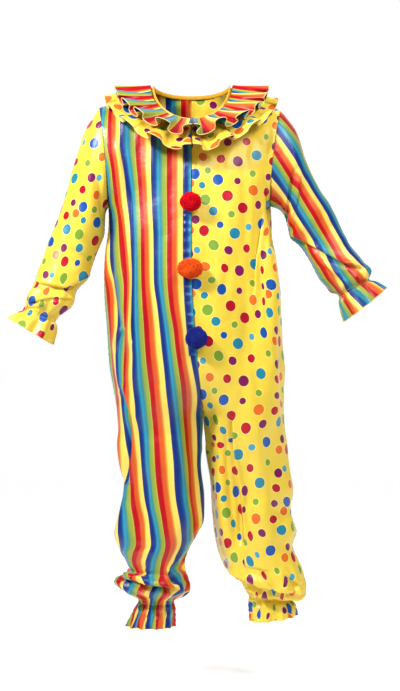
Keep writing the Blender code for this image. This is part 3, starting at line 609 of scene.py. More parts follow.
def gridNormals(points, turn, closed=False, upright=None):
    # cross product of the two neighbouring differences, turned outwards; upright is the share of straight
    # down taken in place of the difference from row to row
    if closed:
        across = np.roll(points, -1, axis=1) - np.roll(points, 1, axis=1)
    else:
        across = np.gradient(points, axis=1)
    down = unit(np.gradient(points, axis=0))
    if upright is not None:
        down = down * (1 - upright)[:, None, None] - np.array((0.0, 0.0, 1.0)) * upright[:, None, None]
    return unit(turn * np.cross(down, across))


def nearLine(points, line):
    # signed distance from a broken line in (x, drop), and the share of its length, past 0 and 1 beyond the
    # ends
    x, drop = points[..., 0], -points[..., 2]
    parts = [math.hypot(x1 - x0, d1 - d0) for (x0, d0), (x1, d1) in zip(line, line[1:])]
    best = np.full(x.shape, np.inf)
    away = np.zeros(x.shape)
    run = np.zeros(x.shape)
    passed = 0.0
    for number, ((x0, d0), (x1, d1), length) in enumerate(zip(line, line[1:], parts)):
        alongX, alongDrop = (x1 - x0) / length, (d1 - d0) / length
        t = (x - x0) * alongX + (drop - d0) * alongDrop
        held = np.clip(t, 0, length)
        distance = np.hypot(x - x0 - held * alongX, drop - d0 - held * alongDrop)
        side = np.sign((x - x0) * alongDrop - (drop - d0) * alongX)
        if number == 0:
            held = np.minimum(t, length)
        if number == len(parts) - 1:
            held = np.where(t > 0, t, held)
        closer = distance < best
        best = np.where(closer, distance, best)
        away = np.where(closer, side * distance, away)
        run = np.where(closer, (passed + held) / sum(parts), run)
        passed += length
    return away, run


def foldLines(points, normals, rows):
    # each line lifts the side that lies over and lowers the other, both as bell curves of the distance from
    # the line, and slides the two across each other
    reach, (turns, shift) = crease["ends"], crease["waverTurns"]
    moved = points.copy()
    for width, ridge, trough, slide, line in rows:
        away, run = nearLine(points, line)
        away = away + crease["waver"] * width * np.sin(run * turns + line[0][0] * shift)
        ends = smoothStep((run + reach) / (2 * reach)) * smoothStep((1 + reach - run) / (2 * reach))
        crest = crease["crest"] * width
        over = np.exp(-(((away + crest) / (crease["overWidth"] * width)) ** 2)) * ends
        under = np.exp(-(((away - crest) / (crease["underWidth"] * width)) ** 2)) * ends
        moved += normals * (ridge * over - trough * under)[..., None]
        if slide:
            start, end = line[0], line[-1]
            length = math.hypot(end[0] - start[0], end[1] - start[1])
            across = np.array(((end[1] - start[1]) / length, 0.0, (end[0] - start[0]) / length))
            across = across - normals * (normals @ across)[..., None]
            moved += across * (slide * (over - under))[..., None]
    return moved


def threadDistance(name, side, points, level):
    # cloth from the centre front at each point: even between the marked threads, and from the last one to
    # the side seam, where the threads keep far enough in for the cloth beyond them
    rows, marks = threadRows[name], np.array(threadMarks[name])
    drop, least = -points[..., 2], threads["least"]
    places = []
    for number in range(len(marks)):
        ahead = side * (points[..., 0] - readTable(rows, number + 1, drop))
        ahead = np.maximum.accumulate(ahead, axis=1)
        place = np.array([np.interp(0.0, a, l) for a, l in zip(ahead, level)])
        short = np.maximum(0.0, -ahead[:, -1])
        before = np.maximum(0.0, ahead[:, 0])
        places.append(place + threads["offSeam"] * short - threads["offCentre"] * before)
    places = np.maximum.accumulate(np.array(places), axis=0) + np.arange(len(marks))[:, None] * least

    legged = smoothStep((drop[:, 0] - threads["centreDrop"]) / threads["centreHeight"])
    first = places[0] - marks[0] / panel["ease"]
    first = first * legged + np.minimum(0.0, places[0] - threads["centreStart"]) * (1 - legged)

    held = smoothStep((drop[:, -1] - body["underarmDrop"]) / threads["seamHeight"])
    held = held * smoothStep((threads["seamEnd"] - drop[:, -1]) / threads["seamEndHeight"])
    seam = np.maximum(level[:, -1], places[-1] + least)
    end = marks[-1] + (seam - places[-1]) * panel["ease"]
    end = end + held * (readTable(sideRows[name], 1, drop[:, -1]) - end)
    seam = seam + held * (level[:, -1] - seam)
    limits = seam - (end - marks[:, None]) / panel["mostGathered"]
    places = places + held * (np.minimum(places, limits) - places)
    first = np.minimum(first, places[0] - least)

    knots = np.vstack((first, places, seam)).T
    values = np.vstack((0 * end, marks[:, None] + 0 * end, end)).T
    across = np.array([np.interp(l, k, v) for l, k, v in zip(level, knots, values)])
    return np.where(level < knots[:, :1], (level - knots[:, :1]) * panel["ease"], across)


def addGrid(name, points, uv, material, thickness=0.0, closed=False, flip=False):
    # a grid of points made a mesh: quad (i, j) joins columns j and j + 1 of rows i and i + 1; its cloth
    # coordinates in metres are the UV map, and closed joins the last column to the first
    rows, columns = points.shape[:2]
    cells = columns if closed else columns - 1
    i, j = np.meshgrid(np.arange(rows - 1), np.arange(cells), indexing="ij")
    nextJ = (j + 1) % columns
    above, below = i * columns, (i + 1) * columns
    quads = np.stack((above + j, above + nextJ, below + nextJ, below + j), axis=-1)
    corners = np.stack((uv[i, j], uv[i, j + 1], uv[i + 1, j + 1], uv[i + 1, j]), axis=-2)
    if flip:
        quads, corners = quads[..., ::-1], corners[..., ::-1, :]
    mesh = bpy.data.meshes.new(name)
    mesh.vertices.add(rows * columns)
    mesh.vertices.foreach_set("co", points.astype(np.float32).ravel())
    count = quads.shape[0] * quads.shape[1]
    mesh.loops.add(count * 4)
    mesh.loops.foreach_set("vertex_index", quads.astype(np.int32).ravel())
    mesh.polygons.add(count)
    mesh.polygons.foreach_set("loop_start", np.arange(count, dtype=np.int32) * 4)
    layer = mesh.uv_layers.new(name="cloth")
    layer.uv.foreach_set("vector", corners.astype(np.float32).ravel())
    mesh.update(calc_edges=True)
    mesh.validate()
    mesh.shade_smooth()
    mesh.materials.append(material)
    piece = bpy.data.objects.new(name, mesh)
    bpy.context.scene.collection.objects.link(piece)
    if thickness:
        wall = piece.modifiers.new("cloth wall", "SOLIDIFY")
        wall.thickness = thickness
        wall.offset = -1
    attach(piece, "root")
    return piece


def addMesh(name, points, faces, material, smooth=True):
    # a mesh from an array of points and the point numbers of each face
    mesh = bpy.data.meshes.new(name)
    mesh.from_pydata(points.tolist(), [], faces)
    if smooth:
        mesh.shade_smooth()
    mesh.materials.append(material)
    piece = bpy.data.objects.new(name, mesh)
    bpy.context.scene.collection.objects.link(piece)
    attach(piece, "root")
    return piece


def linear(colour):
    # screen colour of 0 to 255 to linear light: the power 2.4, and a straight line close to black
    share = np.asarray(colour, dtype=float) / 255
    return tuple(np.where(share <= 0.04045, share / 12.92, ((share + 0.055) / 1.055) ** 2.4)) + (1.0,)


# screen colours from 0 to 255: the stripes and the tones between them, a painted sheen for the middle of the
# teal stripe, the dotted cloth, the plain yarns and threads
palette = {
    "azure": (18, 74, 134), "navy": (13, 40, 112), "lemon": (238, 212, 108), "yellow": (234, 202, 86),
    "ochre": (204, 124, 40), "orange": (200, 82, 30), "coral": (198, 44, 26), "red": (166, 2, 17),
    "spring": (172, 168, 62), "lime": (138, 152, 54), "fern": (80, 138, 96), "teal": (34, 124, 148),
    # the next tone is a lighter teal: painted sheen, not a colour of the print
    "painted_teal_sheen": (48, 140, 166),
    "ground": (229, 198, 62), "halo": (240, 226, 140), "blue": (12, 74, 156), "cyan": (30, 124, 150),
    "sky": (66, 150, 176), "green": (116, 152, 44), "crimson": (172, 3, 28), "magenta": (116, 12, 78),
    "tangerine": (218, 104, 24),
    "gold": (232, 170, 46), "cream": (232, 212, 130),
    "bright yellow": (250, 200, 60), "dull blue": (40, 60, 140),
}

# the repeats of both prints in metres, and the stripes as places in one repeat with their colours
prints = {
    "stripeRepeat": 0.090,
    "stripeStops": (
        (0.000, "azure"), (0.060, "navy"), (0.160, "navy"), (0.172, "lemon"), (0.230, "yellow"),
        (0.300, "yellow"), (0.350, "ochre"), (0.400, "orange"), (0.475, "orange"), (0.505, "coral"),
        (0.530, "red"), (0.660, "red"), (0.674, "spring"), (0.715, "lime"), (0.775, "lime"),
        # the lighter tone between the two teal stops is a painted sheen down the middle of the teal stripe
        (0.830, "fern"), (0.880, "teal"), (0.930, "painted_teal_sheen"), (0.965, "teal"), (1.000, "azure"),
    ),
    "dotAcross": 0.250,
    "dotDown": 0.290,
    "haloWidth": 0.0012,
}

# one repeat of the dotted cloth: across, down and diameter in millimetres, colour
dotRows = (
    (32, 15, 24, "tangerine"), (82, 19, 24, "crimson"), (129, 25, 29, "magenta"), (182, 6, 29, "cyan"),
    (9, 61, 29, "blue"), (46, 51, 18, "green"), (74, 75, 29, "blue"), (127, 78, 18, "magenta"),
    (170, 57, 18, "green"), (171, 101, 29, "tangerine"), (30, 91, 18, "cyan"), (222, 65, 19, "magenta"),
    (218, 105, 23, "crimson"), (39, 129, 29, "green"), (100, 118, 29, "crimson"), (141, 149, 29, "crimson"),
    (187, 139, 23, "magenta"), (61, 159, 24, "cyan"), (110, 167, 18, "green"), (12, 182, 23, "magenta"),
    (81, 195, 18, "blue"), (159, 199, 18, "sky"), (204, 188, 29, "blue"), (119, 217, 29, "cyan"),
    (37, 211, 29, "crimson"), (246, 210, 24, "tangerine"), (63, 249, 28, "green"), (16, 262, 18, "sky"),
    (101, 262, 23, "magenta"), (154, 256, 23, "crimson"), (212, 243, 18, "green"), (243, 272, 25, "magenta"),
    (232, 22, 23, "crimson"), (243, 135, 28, "cyan"), (247, 86, 24, "tangerine"),
)


class Nodes:
    # shorthand for putting shader nodes in a tree and joining them

    def __init__(self, tree):
        # the tree that the nodes go into
        self.tree = tree

    def add(self, kind, values=(), **settings):
        # a new node with its settings, its first inputs taken from the values
        node = self.tree.nodes.new(kind)
        for key, value in settings.items():
            setattr(node, key, value)
        for place, value in enumerate(values):
            self.put(node.inputs[place], value)
        return node

    def put(self, socket, value):
        # the value of a socket: a link from another socket, or a constant
        if isinstance(value, bpy.types.NodeSocket):
            self.tree.links.new(value, socket)
        elif value is not None:
            socket.default_value = value

    def math(self, operation, *values):
        # operation(values) on numbers
        return self.add("ShaderNodeMath", values, operation=operation).outputs[0]

    def vector(self, operation, *values):
        # operation(values) on vectors
        node = self.add("ShaderNodeVectorMath", values, operation=operation)
        return node.outputs["Value" if operation in ("LENGTH", "DISTANCE") else "Vector"]

    def mix(self, factor, low, high):
        # low (1 - factor) + high factor, for colours
        node = self.add("ShaderNodeMix", data_type="RGBA")
        self.put(node.inputs["Factor"], factor)
        self.put(node.inputs[6], low)
        self.put(node.inputs[7], high)
        return node.outputs[2]


def dotPrint():
    # node group: cloth coordinates wrapped to one repeat, and for each colour the least of (distance to a
    # dot's middle - its radius): below 0 lies the dot, and below the rim's width its pale rim
    group = bpy.data.node_groups.new("dotted print", "ShaderNodeTree")
    group.interface.new_socket("Cloth", in_out="INPUT", socket_type="NodeSocketVector")
    group.interface.new_socket("Color", in_out="OUTPUT", socket_type="NodeSocketColor")
    nodes = Nodes(group)
    source = nodes.add("NodeGroupInput")
    sink = nodes.add("NodeGroupOutput")
    wide, high = prints["dotAcross"], prints["dotDown"]
    spot = nodes.vector("WRAP", source.outputs[0], (wide, high, 1.0), (0.0, 0.0, -1.0))
    nearest = None
    colour = linear(palette["halo"])
    for name in sorted({row[3] for row in dotRows}):
        nearOne = None
        for across, down, diameter, dotName in dotRows:
            if dotName != name:
                continue
            radius = diameter / 2000
            margin = radius + prints["haloWidth"]
            for x in (across / 1000 - wide, across / 1000, across / 1000 + wide):
                for y in (down / 1000 - high, down / 1000, down / 1000 + high):
                    if not (-margin < x < wide + margin and -margin < y < high + margin):
                        continue
                    away = nodes.math("SUBTRACT", nodes.vector("DISTANCE", spot, (x, y, 0.0)), radius)
                    nearOne = away if nearOne is None else nodes.math("MINIMUM", nearOne, away)
        colour = nodes.mix(nodes.math("LESS_THAN", nearOne, 0.0), colour, linear(palette[name]))
        nearest = nearOne if nearest is None else nodes.math("MINIMUM", nearest, nearOne)
    near = nodes.math("LESS_THAN", nearest, prints["haloWidth"])
    nodes.put(sink.inputs[0], nodes.mix(near, linear(palette["ground"]), colour))
    return group


# gloss, grain and relief of the three kinds of finish; scales are repeats a metre, heights in metres
satinLook = {
    "cloudScale": 9,
    "cloudDetail": 3,
    "shade": (0.14, 0.92),  # cloud to brightness: times, and more
    "plainScale": 60,
    "plainDark": 0.86,
    "wrinkleScale": 34,
    "wrinkleDetail": 4,
    "wrinkleRoughness": 0.45,
    "wrinkleStrength": 0.30,
    "wrinkleHeight": 0.006,
    "weaveScale": 420,
    "weaveDistortion": 1.5,
    "weaveStrength": 0.12,
    "weaveHeight": 0.0003,
    "roughness": (0.06, 0.30),  # weave to roughness: times, and more
    "specular": 0.38,
    "sheen": 0.02,
    "sheenRoughness": 0.35,
}
yarnLook = {
    "grainScale": 420,
    "grainDetail": 2,
    "dark": 0.78,
    "bright": (1.08, 0.002),  # tone times, and more
    "roughness": 0.92,
    "specular": 0.06,
    "sheen": 0.05,
    "sheenRoughness": 0.5,
    "reliefStrength": 0.4,
    "reliefHeight": 0.0006,
}
threadLook = {"twistScale": 700, "dark": 0.8, "roughness": 0.6, "reliefStrength": 0.5, "reliefHeight": 0.0002}


def newMaterial(name):
    # a material with its shader, the shorthand for its nodes and the place on the object in metres
    material = bpy.data.materials.new(name)
    material.use_nodes = True
    nodes = Nodes(material.node_tree)
    place = nodes.add("ShaderNodeTexCoord").outputs["Object"]
    return material, material.node_tree.nodes["Principled BSDF"], nodes, place


def dimmed(tone, share):
    # a colour with each part times the share
    return tuple(share * part for part in tone[:3]) + (1.0,)


def noise(nodes, place, scale, detail=None, roughness=None):
    # cloudy noise in three dimensions, detail being the number of halvings of its scale
    node = nodes.add("ShaderNodeTexNoise", (place,), noise_dimensions="3D")
    for socket, value in (("Scale", scale), ("Detail", detail), ("Roughness", roughness)):
        nodes.put(node.inputs[socket], value)
    return node.outputs[0]


def bump(nodes, height, strength, distance, below=None):
    # fine relief: the shading normal turned by the slope of the height, on top of another relief
    node = nodes.add("ShaderNodeBump")
    node.inputs["Strength"].default_value = strength
    node.inputs["Distance"].default_value = distance
    nodes.put(node.inputs["Height"], height)
    nodes.put(node.inputs["Normal"], below)
    return node.outputs[0]


def stripePrint(nodes, cloth):
    # colour by the fraction of (cloth across / repeat), blended in straight lines from stop to stop
    across = nodes.add("ShaderNodeSeparateXYZ", (cloth,)).outputs[0]
    turn = nodes.math("FRACT", nodes.math("DIVIDE", across, prints["stripeRepeat"]))
    ramp = nodes.add("ShaderNodeValToRGB", (turn,))
    stops = ramp.color_ramp.elements
    while len(stops) < len(prints["stripeStops"]):
        stops.new(0.99)
    for stop, (position, colour) in zip(stops, prints["stripeStops"]):
        stop.position = position
        stop.color = linear(palette[colour])
    return ramp.outputs[0]


def satin(name, kind, phase=(0.0, 0.0), printGroup=None):
    # woven polyester satin: the print times a cloudy shade, fine weave, small wrinkles and a soft broad gloss
    material, shader, nodes, place = newMaterial(name)
    look = satinLook
    cloth = nodes.add("ShaderNodeUVMap", uv_map="cloth").outputs[0]
    if kind == "stripes":
        colour = stripePrint(nodes, nodes.vector("ADD", cloth, phase + (0.0,)))
    elif kind == "dots":
        moved = nodes.vector("ADD", cloth, phase + (0.0,))
        colour = nodes.add("ShaderNodeGroup", (moved,), node_tree=printGroup).outputs[0]
    else:
        tone = linear(palette[kind])
        colour = nodes.mix(noise(nodes, place, look["plainScale"]), dimmed(tone, look["plainDark"]), tone)
    cloud = noise(nodes, place, look["cloudScale"], look["cloudDetail"])
    shade = nodes.math("MULTIPLY_ADD", cloud, *look["shade"])
    grey = nodes.add("ShaderNodeCombineColor", (shade, shade, shade)).outputs[0]
    tinted = nodes.add("ShaderNodeMix", data_type="RGBA", blend_type="MULTIPLY")
    tinted.inputs["Factor"].default_value = 1.0
    nodes.put(tinted.inputs[6], colour)
    nodes.put(tinted.inputs[7], grey)
    nodes.put(shader.inputs["Base Color"], tinted.outputs[2])
    weave = nodes.add("ShaderNodeTexWave", (cloth,), wave_type="BANDS", bands_direction="DIAGONAL")
    weave.inputs["Scale"].default_value = look["weaveScale"]
    weave.inputs["Distortion"].default_value = look["weaveDistortion"]
    relief = bump(nodes, weave.outputs[1], look["weaveStrength"], look["weaveHeight"])
    wrinkle = noise(nodes, place, look["wrinkleScale"], look["wrinkleDetail"], look["wrinkleRoughness"])
    relief = bump(nodes, wrinkle, look["wrinkleStrength"], look["wrinkleHeight"], relief)
    nodes.put(shader.inputs["Normal"], relief)
    nodes.put(shader.inputs["Roughness"], nodes.math("MULTIPLY_ADD", weave.outputs[1], *look["roughness"]))
    shader.inputs["Specular IOR Level"].default_value = look["specular"]
    shader.inputs["Sheen Weight"].default_value = look["sheen"]
    shader.inputs["Sheen Roughness"].default_value = look["sheenRoughness"]
    return material


def yarn(name, colour):
    # matt fuzzy yarn: between a deep and a light tone by fine noise, which is its relief as well
    material, shader, nodes, place = newMaterial(name)
    look = yarnLook
    grain = noise(nodes, place, look["grainScale"], look["grainDetail"])
    tone = linear(colour)
    times, more = look["bright"]
    light = tuple(min(1.0, times * part + more) for part in tone[:3]) + (1.0,)
    nodes.put(shader.inputs["Base Color"], nodes.mix(grain, dimmed(tone, look["dark"]), light))
    nodes.put(shader.inputs["Normal"], bump(nodes, grain, look["reliefStrength"], look["reliefHeight"]))
    shader.inputs["Roughness"].default_value = look["roughness"]
    shader.inputs["Specular IOR Level"].default_value = look["specular"]
    shader.inputs["Sheen Weight"].default_value = look["sheen"]
    shader.inputs["Sheen Roughness"].default_value = look["sheenRoughness"]
    return material


def thread(name, colour):
    # sewing thread with its twist as fine slanted bands of tone and relief
    material, shader, nodes, place = newMaterial(name)
    look = threadLook
    twist = nodes.add("ShaderNodeTexWave", (place,), wave_type="BANDS", bands_direction="DIAGONAL")
    twist.inputs["Scale"].default_value = look["twistScale"]
    tone = linear(colour)
    nodes.put(shader.inputs["Base Color"], nodes.mix(twist.outputs[1], dimmed(tone, look["dark"]), tone))
    relief = bump(nodes, twist.outputs[1], look["reliefStrength"], look["reliefHeight"])
    nodes.put(shader.inputs["Normal"], relief)
    shader.inputs["Roughness"].default_value = look["roughness"]
    return material


dots = dotPrint()
stripedBody = satin("striped satin body", "stripes", phase=(-0.0085, 0.0))
stripedSleeve = satin("striped satin sleeve", "stripes", phase=(0.0182, 0.0))
stripedRuffle = satin("striped satin ruffle", "stripes", phase=(0.0075, 0.0))
dottedBody = satin("dotted satin body", "dots", printGroup=dots)
dottedSleeve = satin("dotted satin sleeve", "dots", phase=(0.1145, 0.1477), printGroup=dots)
dottedRuffle = satin("dotted satin ruffle", "dots", phase=(0.113, 0.269), printGroup=dots)
bindingSatin = satin("golden satin binding", "gold")
overlockThread = thread("pale overlock thread", palette["cream"])
yellowThread = thread("yellow sewing thread", palette["bright yellow"])
navyThread = thread("blue sewing thread", palette["dull blue"])
print("materials made")

# front and back panels: each is body and leg in one cut
panel = {
    "columns": 112,
    "neckRows": 26,
    "centreRows": 22,
    "trunkSpacing": 0.0085,
    "crotchReach": 0.034,  # height above and below the crotch with closer rows
    "crotchRows": (22, 14),
    "legSpacing": 0.0075,
    "ankleSpacing": 0.0030,
    "ankleFrom": 1.285,
    "easeRows": 9,  # rows on each side of the underarm that are drawn together
    "easeTimes": 40,
    "easeFrom": (0.25, 0.3),  # share of a row where it starts, and over which it grows
    "easeSeam": 0.05,
    "ease": 1.07,  # cloth for each metre of surface
    "mostGathered": 1.5,
    "seatDrop": 0.7075,  # from here the back's cloth is measured as on the leg
    "seatHeight": 0.12,
    "inseamHeight": 0.08,
    "dotStart": 0.183,
    "backShift": (0.037, 0.125),  # of the back's print, across and down
    "uprightFrom": (0.60, 0.08),  # drop where the normals take straight down, and its growth
    "uprightTo": (0.06, 0.05),  # below the crotch where that ends, and its growth
    "slack": (0.0070, 0.055, 0.190, 3),  # height, length across and down, slant
    "wrinkle": (0.0018, 0.021, 0.060, 0),
    "ankleWrinkle": (0.0022, 0.050, 0.016, 0),
    "ankleWrinkled": (1.20, 0.10),  # drop where they start, and their growth
    "seamDip": 0.0010,
    "seamWidth": 0.0030,
    "seamCalm": 0.02,  # width beside a seam where folds come in
    "puckerHeight": 0.0006,
    "puckerLength": 0.017,
    "puckerDrift": (1.7, 31),  # radians to and fro, and radians a metre
    "puckerReach": 0.014,
    "elasticDrop": {-1: 1.376, 1: 1.374},
    "elasticHalf": 0.007,
    "elasticGathers": 41,
    "elasticHeight": 0.0011,
    "elasticCalm": 0.8,  # share of the relief pressed flat
    "elasticFlat": 0.9,  # share of the fold lines pressed flat
    "frillHeight": 0.0060,
    "frillGrowth": 0.03,
}


def seamRelief(distance, along):
    # a narrow dip at a seam with small puckers that die out a finger's width away, both bell curves of the
    # distance
    dip = -panel["seamDip"] * np.exp(-((distance / panel["seamWidth"]) ** 2))
    drift, turns = panel["puckerDrift"]
    wave = np.sin(2 * math.pi * along / panel["puckerLength"] + drift * np.sin(along * turns))
    return dip + panel["puckerHeight"] * wave * np.exp(-((distance / panel["puckerReach"]) ** 2))


def wrinkles(shape, across, down, seed, strength=1.0):
    # height times smooth noise of the cloth across and down, each counted in lengths of one wrinkle
    height, wide, long, slant = shape
    return height * strength * softNoise(across / wide, down / long + across * slant, seed)


def easedRows(points, level, share):
    # rows close to a level are drawn, a few times over, to the mean of the rows above and below; the edges
    # stay
    near = smoothStep(1.15 - np.abs(np.arange(len(points)) - level) / panel["easeRows"])[:, None, None]
    start, width = panel["easeFrom"]
    inner = (smoothStep((share - start) / width) * smoothStep((1 - share) / panel["easeSeam"]))[None, :, None]
    for again in range(panel["easeTimes"]):
        mean = (np.roll(points, 1, axis=0) + np.roll(points, -1, axis=0)) / 2
        points = points + near * inner * (mean - points)
    return points


def panelRows(side):
    # steps of the yoke from the shoulder (1) past the neckline (0.5) down the middle seam (0), and the
    # drops of the rows below, which crowd together at the crotch with the square of the distance and lie
    # closer at the ankle
    steps = np.concatenate((
        np.linspace(1.0, 0.5, panel["neckRows"] + 1),
        np.linspace(0.5, 0.0, panel["centreRows"] + 1)[1:],
    ))
    trunk, leg, ankle = panel["trunkSpacing"], panel["legSpacing"], panel["ankleFrom"]
    crotch, reach, hem = body["crotchDrop"], panel["crotchReach"], legRows[side][-1][0]
    drops = np.concatenate((
        np.arange(body["underarmDrop"] + trunk, crotch - reach, trunk),
        crotch - reach * np.linspace(1, 0, panel["crotchRows"][0]) ** 2,
        crotch + reach * np.linspace(0, 1, panel["crotchRows"][1])[1:] ** 2,
        np.arange(crotch + reach + leg, ankle, leg),
        np.linspace(ankle, hem, int((hem - ankle) / panel["ankleSpacing"])),
    ))
    return steps, drops


def clothDown(points, yoke):
    # the drop, less the length that the slant of the yoke adds from the underarm up, as a mean over its
    # middle
    rise = np.diff(points, axis=0)
    middle = slice(panel["columns"] // 4, panel["columns"] * 2 // 3)
    extra = (np.hypot(rise[..., 1], rise[..., 2]) - np.abs(rise[..., 2]))[:, middle].mean(axis=1)
    lag = np.append(np.cumsum(extra[:yoke][::-1])[::-1], np.zeros(len(points) - yoke))
    return -points[..., 2] - lag[:, None]


def backDistance(side, drop, angle, rearmost, level):
    # cloth across a back panel below the yoke: arc times the ease in the trunk, and on the leg the table's
    # distances at the inner seam, the rearmost line and the side seam, even in between
    inseam, rear, outseam = (readTable(backRows[side], number, drop) for number in (1, 2, 3))
    place = np.array([np.interp(r, a, l) for r, a, l in zip(rearmost, 2 * math.pi - angle, level)])
    legged = smoothStep((drop - body["crotchDrop"]) / panel["inseamHeight"])
    inseam = (rear - place) * (1 - legged) + inseam * legged
    away = level - place[:, None]
    inner = away * ((rear - inseam) / place)[:, None]
    outer = away * ((outseam - rear) / (level[:, -1] - place))[:, None]
    leg = rear[:, None] + np.where(away < 0, inner, outer)
    isLeg = smoothStep((drop - panel["seatDrop"]) / panel["seatHeight"])[:, None]
    return level * panel["ease"] * (1 - isLeg) + leg * isLeg


def panelPrint(name, front, points, across, down):
    # the print lies at (cloth across, cloth down), shifted on the back, and lower on the inner side of the
    # thigh's fold
    if name == "left_front":
        inner, run = nearLine(points, creaseRows[name][slip["fold"]][4])
        full = smoothStep((down - slip["from"]) / (slip["to"] - slip["from"]))
        down = down + slip["far"] * full * smoothStep(0.5 + inner / slip["width"])
    shift = (0.0, 0.0) if front else panel["backShift"]
    return np.stack((across + shift[0], down - panel["dotStart"] + shift[1]), axis=-1)


def panelRelief(side, across, down, angle, seed, elastic):
    # slack folds, small wrinkles and cross wrinkles at the ankle, pressed flat at the elastic; there fine
    # gathers, and below it the waves of the frill, which grow to the hem
    first, height = panel["ankleWrinkled"]
    relief = wrinkles(panel["slack"], across, down, seed)
    relief += wrinkles(panel["wrinkle"], across, down, seed + 40)
    relief += wrinkles(panel["ankleWrinkle"], across, down, seed + 70, smoothStep((down - first) / height))
    gathers = np.zeros(across.shape)
    gathers[-len(angle):] = panel["elasticHeight"] * np.cos(panel["elasticGathers"] * angle)
    relief = relief * (1 - panel["elasticCalm"] * elastic) + gathers * elastic
    frill = smoothStep((down - panel["elasticDrop"][side] - panel["elasticHalf"]) / panel["frillGrowth"])
    waves = np.zeros(across.shape)
    waves[-len(angle):] = angle * body["legGathers"]
    return relief + panel["frillHeight"] * frill * (np.sin(waves / 2) ** 2 * 2 - 1)


def openSeams(points, yoke, legStart):
    # every sewn edge moves half the seam's gap into the panel
    gap = body["seamGap"] / 2
    points[:yoke, 0] += unit(points[:yoke, 1] - points[:yoke, 0]) * gap
    points[legStart:, 0] += unit(points[legStart:, 1] - points[legStart:, 0]) * gap
    points[:, -1] += unit(points[:, -2] - points[:, -1]) * gap
    points[0] += unit(points[1] - points[0]) * gap
    return points


def addPanel(name, side, front, material):
    # rows from the shoulder down to the ankle hem, then folds and relief along the normals, calm near the
    # seams
    share = np.linspace(0, 1, panel["columns"] + 1)
    steps, drops = panelRows(side)
    yoke = len(steps)
    lower, angle, rearmost = bodyGrid(side, front, drops, share)
    points = easedRows(np.concatenate((yokeGrid(side, front, steps, share), lower)), yoke, share)

    step = np.diff(points, axis=1)
    level = np.pad(np.cumsum(np.hypot(step[..., 0], step[..., 1]), axis=1), ((0, 0), (1, 0)))
    isYoke = np.arange(len(points)) < yoke
    fromCentre = np.abs(points[:, :1, 0]) * isYoke[:, None] + level
    down = clothDown(points, yoke)
    if front:
        across = threadDistance(name, side, points, fromCentre)
    else:
        across = fromCentre * panel["ease"]
        across[yoke:] = backDistance(side, drops, angle, rearmost, level[yoke:])
    uv = panelPrint(name, front, points, across, down)

    turn = side if front else -side
    rowDrop = np.concatenate((np.zeros(yoke), drops))
    (first, growth), (below, fading) = panel["uprightFrom"], panel["uprightTo"]
    upright = smoothStep((rowDrop - first) / growth)
    upright = upright * smoothStep((body["crotchDrop"] + below - rowDrop) / fading)
    normals = gridNormals(points, turn, upright=upright)
    elastic = np.exp(-(((down - panel["elasticDrop"][side]) / panel["elasticHalf"]) ** 2))
    sideAway = level[:, -1:] - level
    middleAway = np.where((np.arange(len(points)) < panel["neckRows"])[:, None], 1.0, level)
    edge = smoothStep(np.minimum(sideAway, middleAway) / panel["seamCalm"])
    relief = edge * panelRelief(side, across, down, angle, 11 + 3 * side + int(front), elastic)
    relief += seamRelief(sideAway, down) + seamRelief(middleAway, down)
    calm = edge * (1 - panel["elasticFlat"] * elastic)
    folded = foldLines(points, normals, creaseRows[name])
    points = points + (folded - points) * calm[..., None] + normals * relief[..., None]
    points[yoke:] = heldApart(side, drops, points[yoke:])
    points = openSeams(points, yoke, yoke + int(np.sum(drops <= body["crotchDrop"])))
    piece = addGrid(name + "_cloth", points, uv, material, body["cloth"], flip=turn > 0)
    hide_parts(name)
    return piece, points


panels = {}
panelPoints = {}
for name, side, front, material in (
    ("right_front", -1, True, stripedBody),
    ("right_back", -1, False, stripedBody),
    ("left_front", 1, True, dottedBody),
    ("left_back", 1, False, dottedBody),
):
    panels[name], panelPoints[name] = addPanel(name, side, front, material)
print("panels made")

# sleeves: closed tubes from the armhole to the frill at the wrist
sleeve = {
    "rings": 168,
    "ringPower": 0.92,
    "columns": 144,
    "slack": (0.0035, 0.050, 0.100, 0),
    "wrinkle": (0.0012, 0.030, 0.022, 0),
    "underCalm": 0.05,
    "armholeCalm": 0.03,
    "elasticRing": 9.0,
    "elasticHalf": 0.22,
    "elasticGathers": 33,
    "elasticHeight": 0.0009,
    "elasticCalm": 0.8,
    "elasticFlat": 0.9,
    "clothRadius": (0.0755, 0.0680),  # of the cut tube at the armhole and the hem
    "grainTurn": {-1: 0.173, 1: 0.110},  # radians between the grain and the arm
}

# middle line of each sleeve from the front: x away from the centre, drop, half width across the arm
armRows = {
    -1: (
        (0.212, 0.115, 0.066),
        (0.270, 0.295, 0.060),
        (0.353, 0.520, 0.057),
        (0.398, 0.612, 0.044),
        (0.425, 0.658, 0.066),
    ),
    1: (
        (0.174, 0.098, 0.066),
        (0.2465, 0.230, 0.061),
        (0.327, 0.382, 0.057),
        (0.419, 0.5435, 0.038),
        (0.457, 0.587, 0.063),
    ),
}


def sleeveCloth(side, points, angle):
    # cloth down follows the arm's middle line; cloth across is the turn about that line from its outer side
    # times the radius of the cut tube; both are then turned by the angle between the grain and the arm
    rows = armRows[side]
    line = [(row[0], row[1]) for row in rows]
    length = sum(math.hypot(b[0] - a[0], b[1] - a[1]) for a, b in zip(line, line[1:]))
    outward = points * np.array((side, 1, 1))
    away, run = nearLine(outward, line)
    half = np.interp(run, np.linspace(0, 1, len(rows)), [row[2] for row in rows])
    turn = np.unwrap(np.arctan2(np.sin(angle), away / half), axis=1)
    wide, narrow = sleeve["clothRadius"]
    across = turn * (wide + (narrow - wide) * np.clip(run, 0, 1))
    down = run * length
    grain = sleeve["grainTurn"][side]
    return np.stack((across * math.cos(grain) + down * math.sin(grain),
                     down * math.cos(grain) - across * math.sin(grain)), axis=-1)


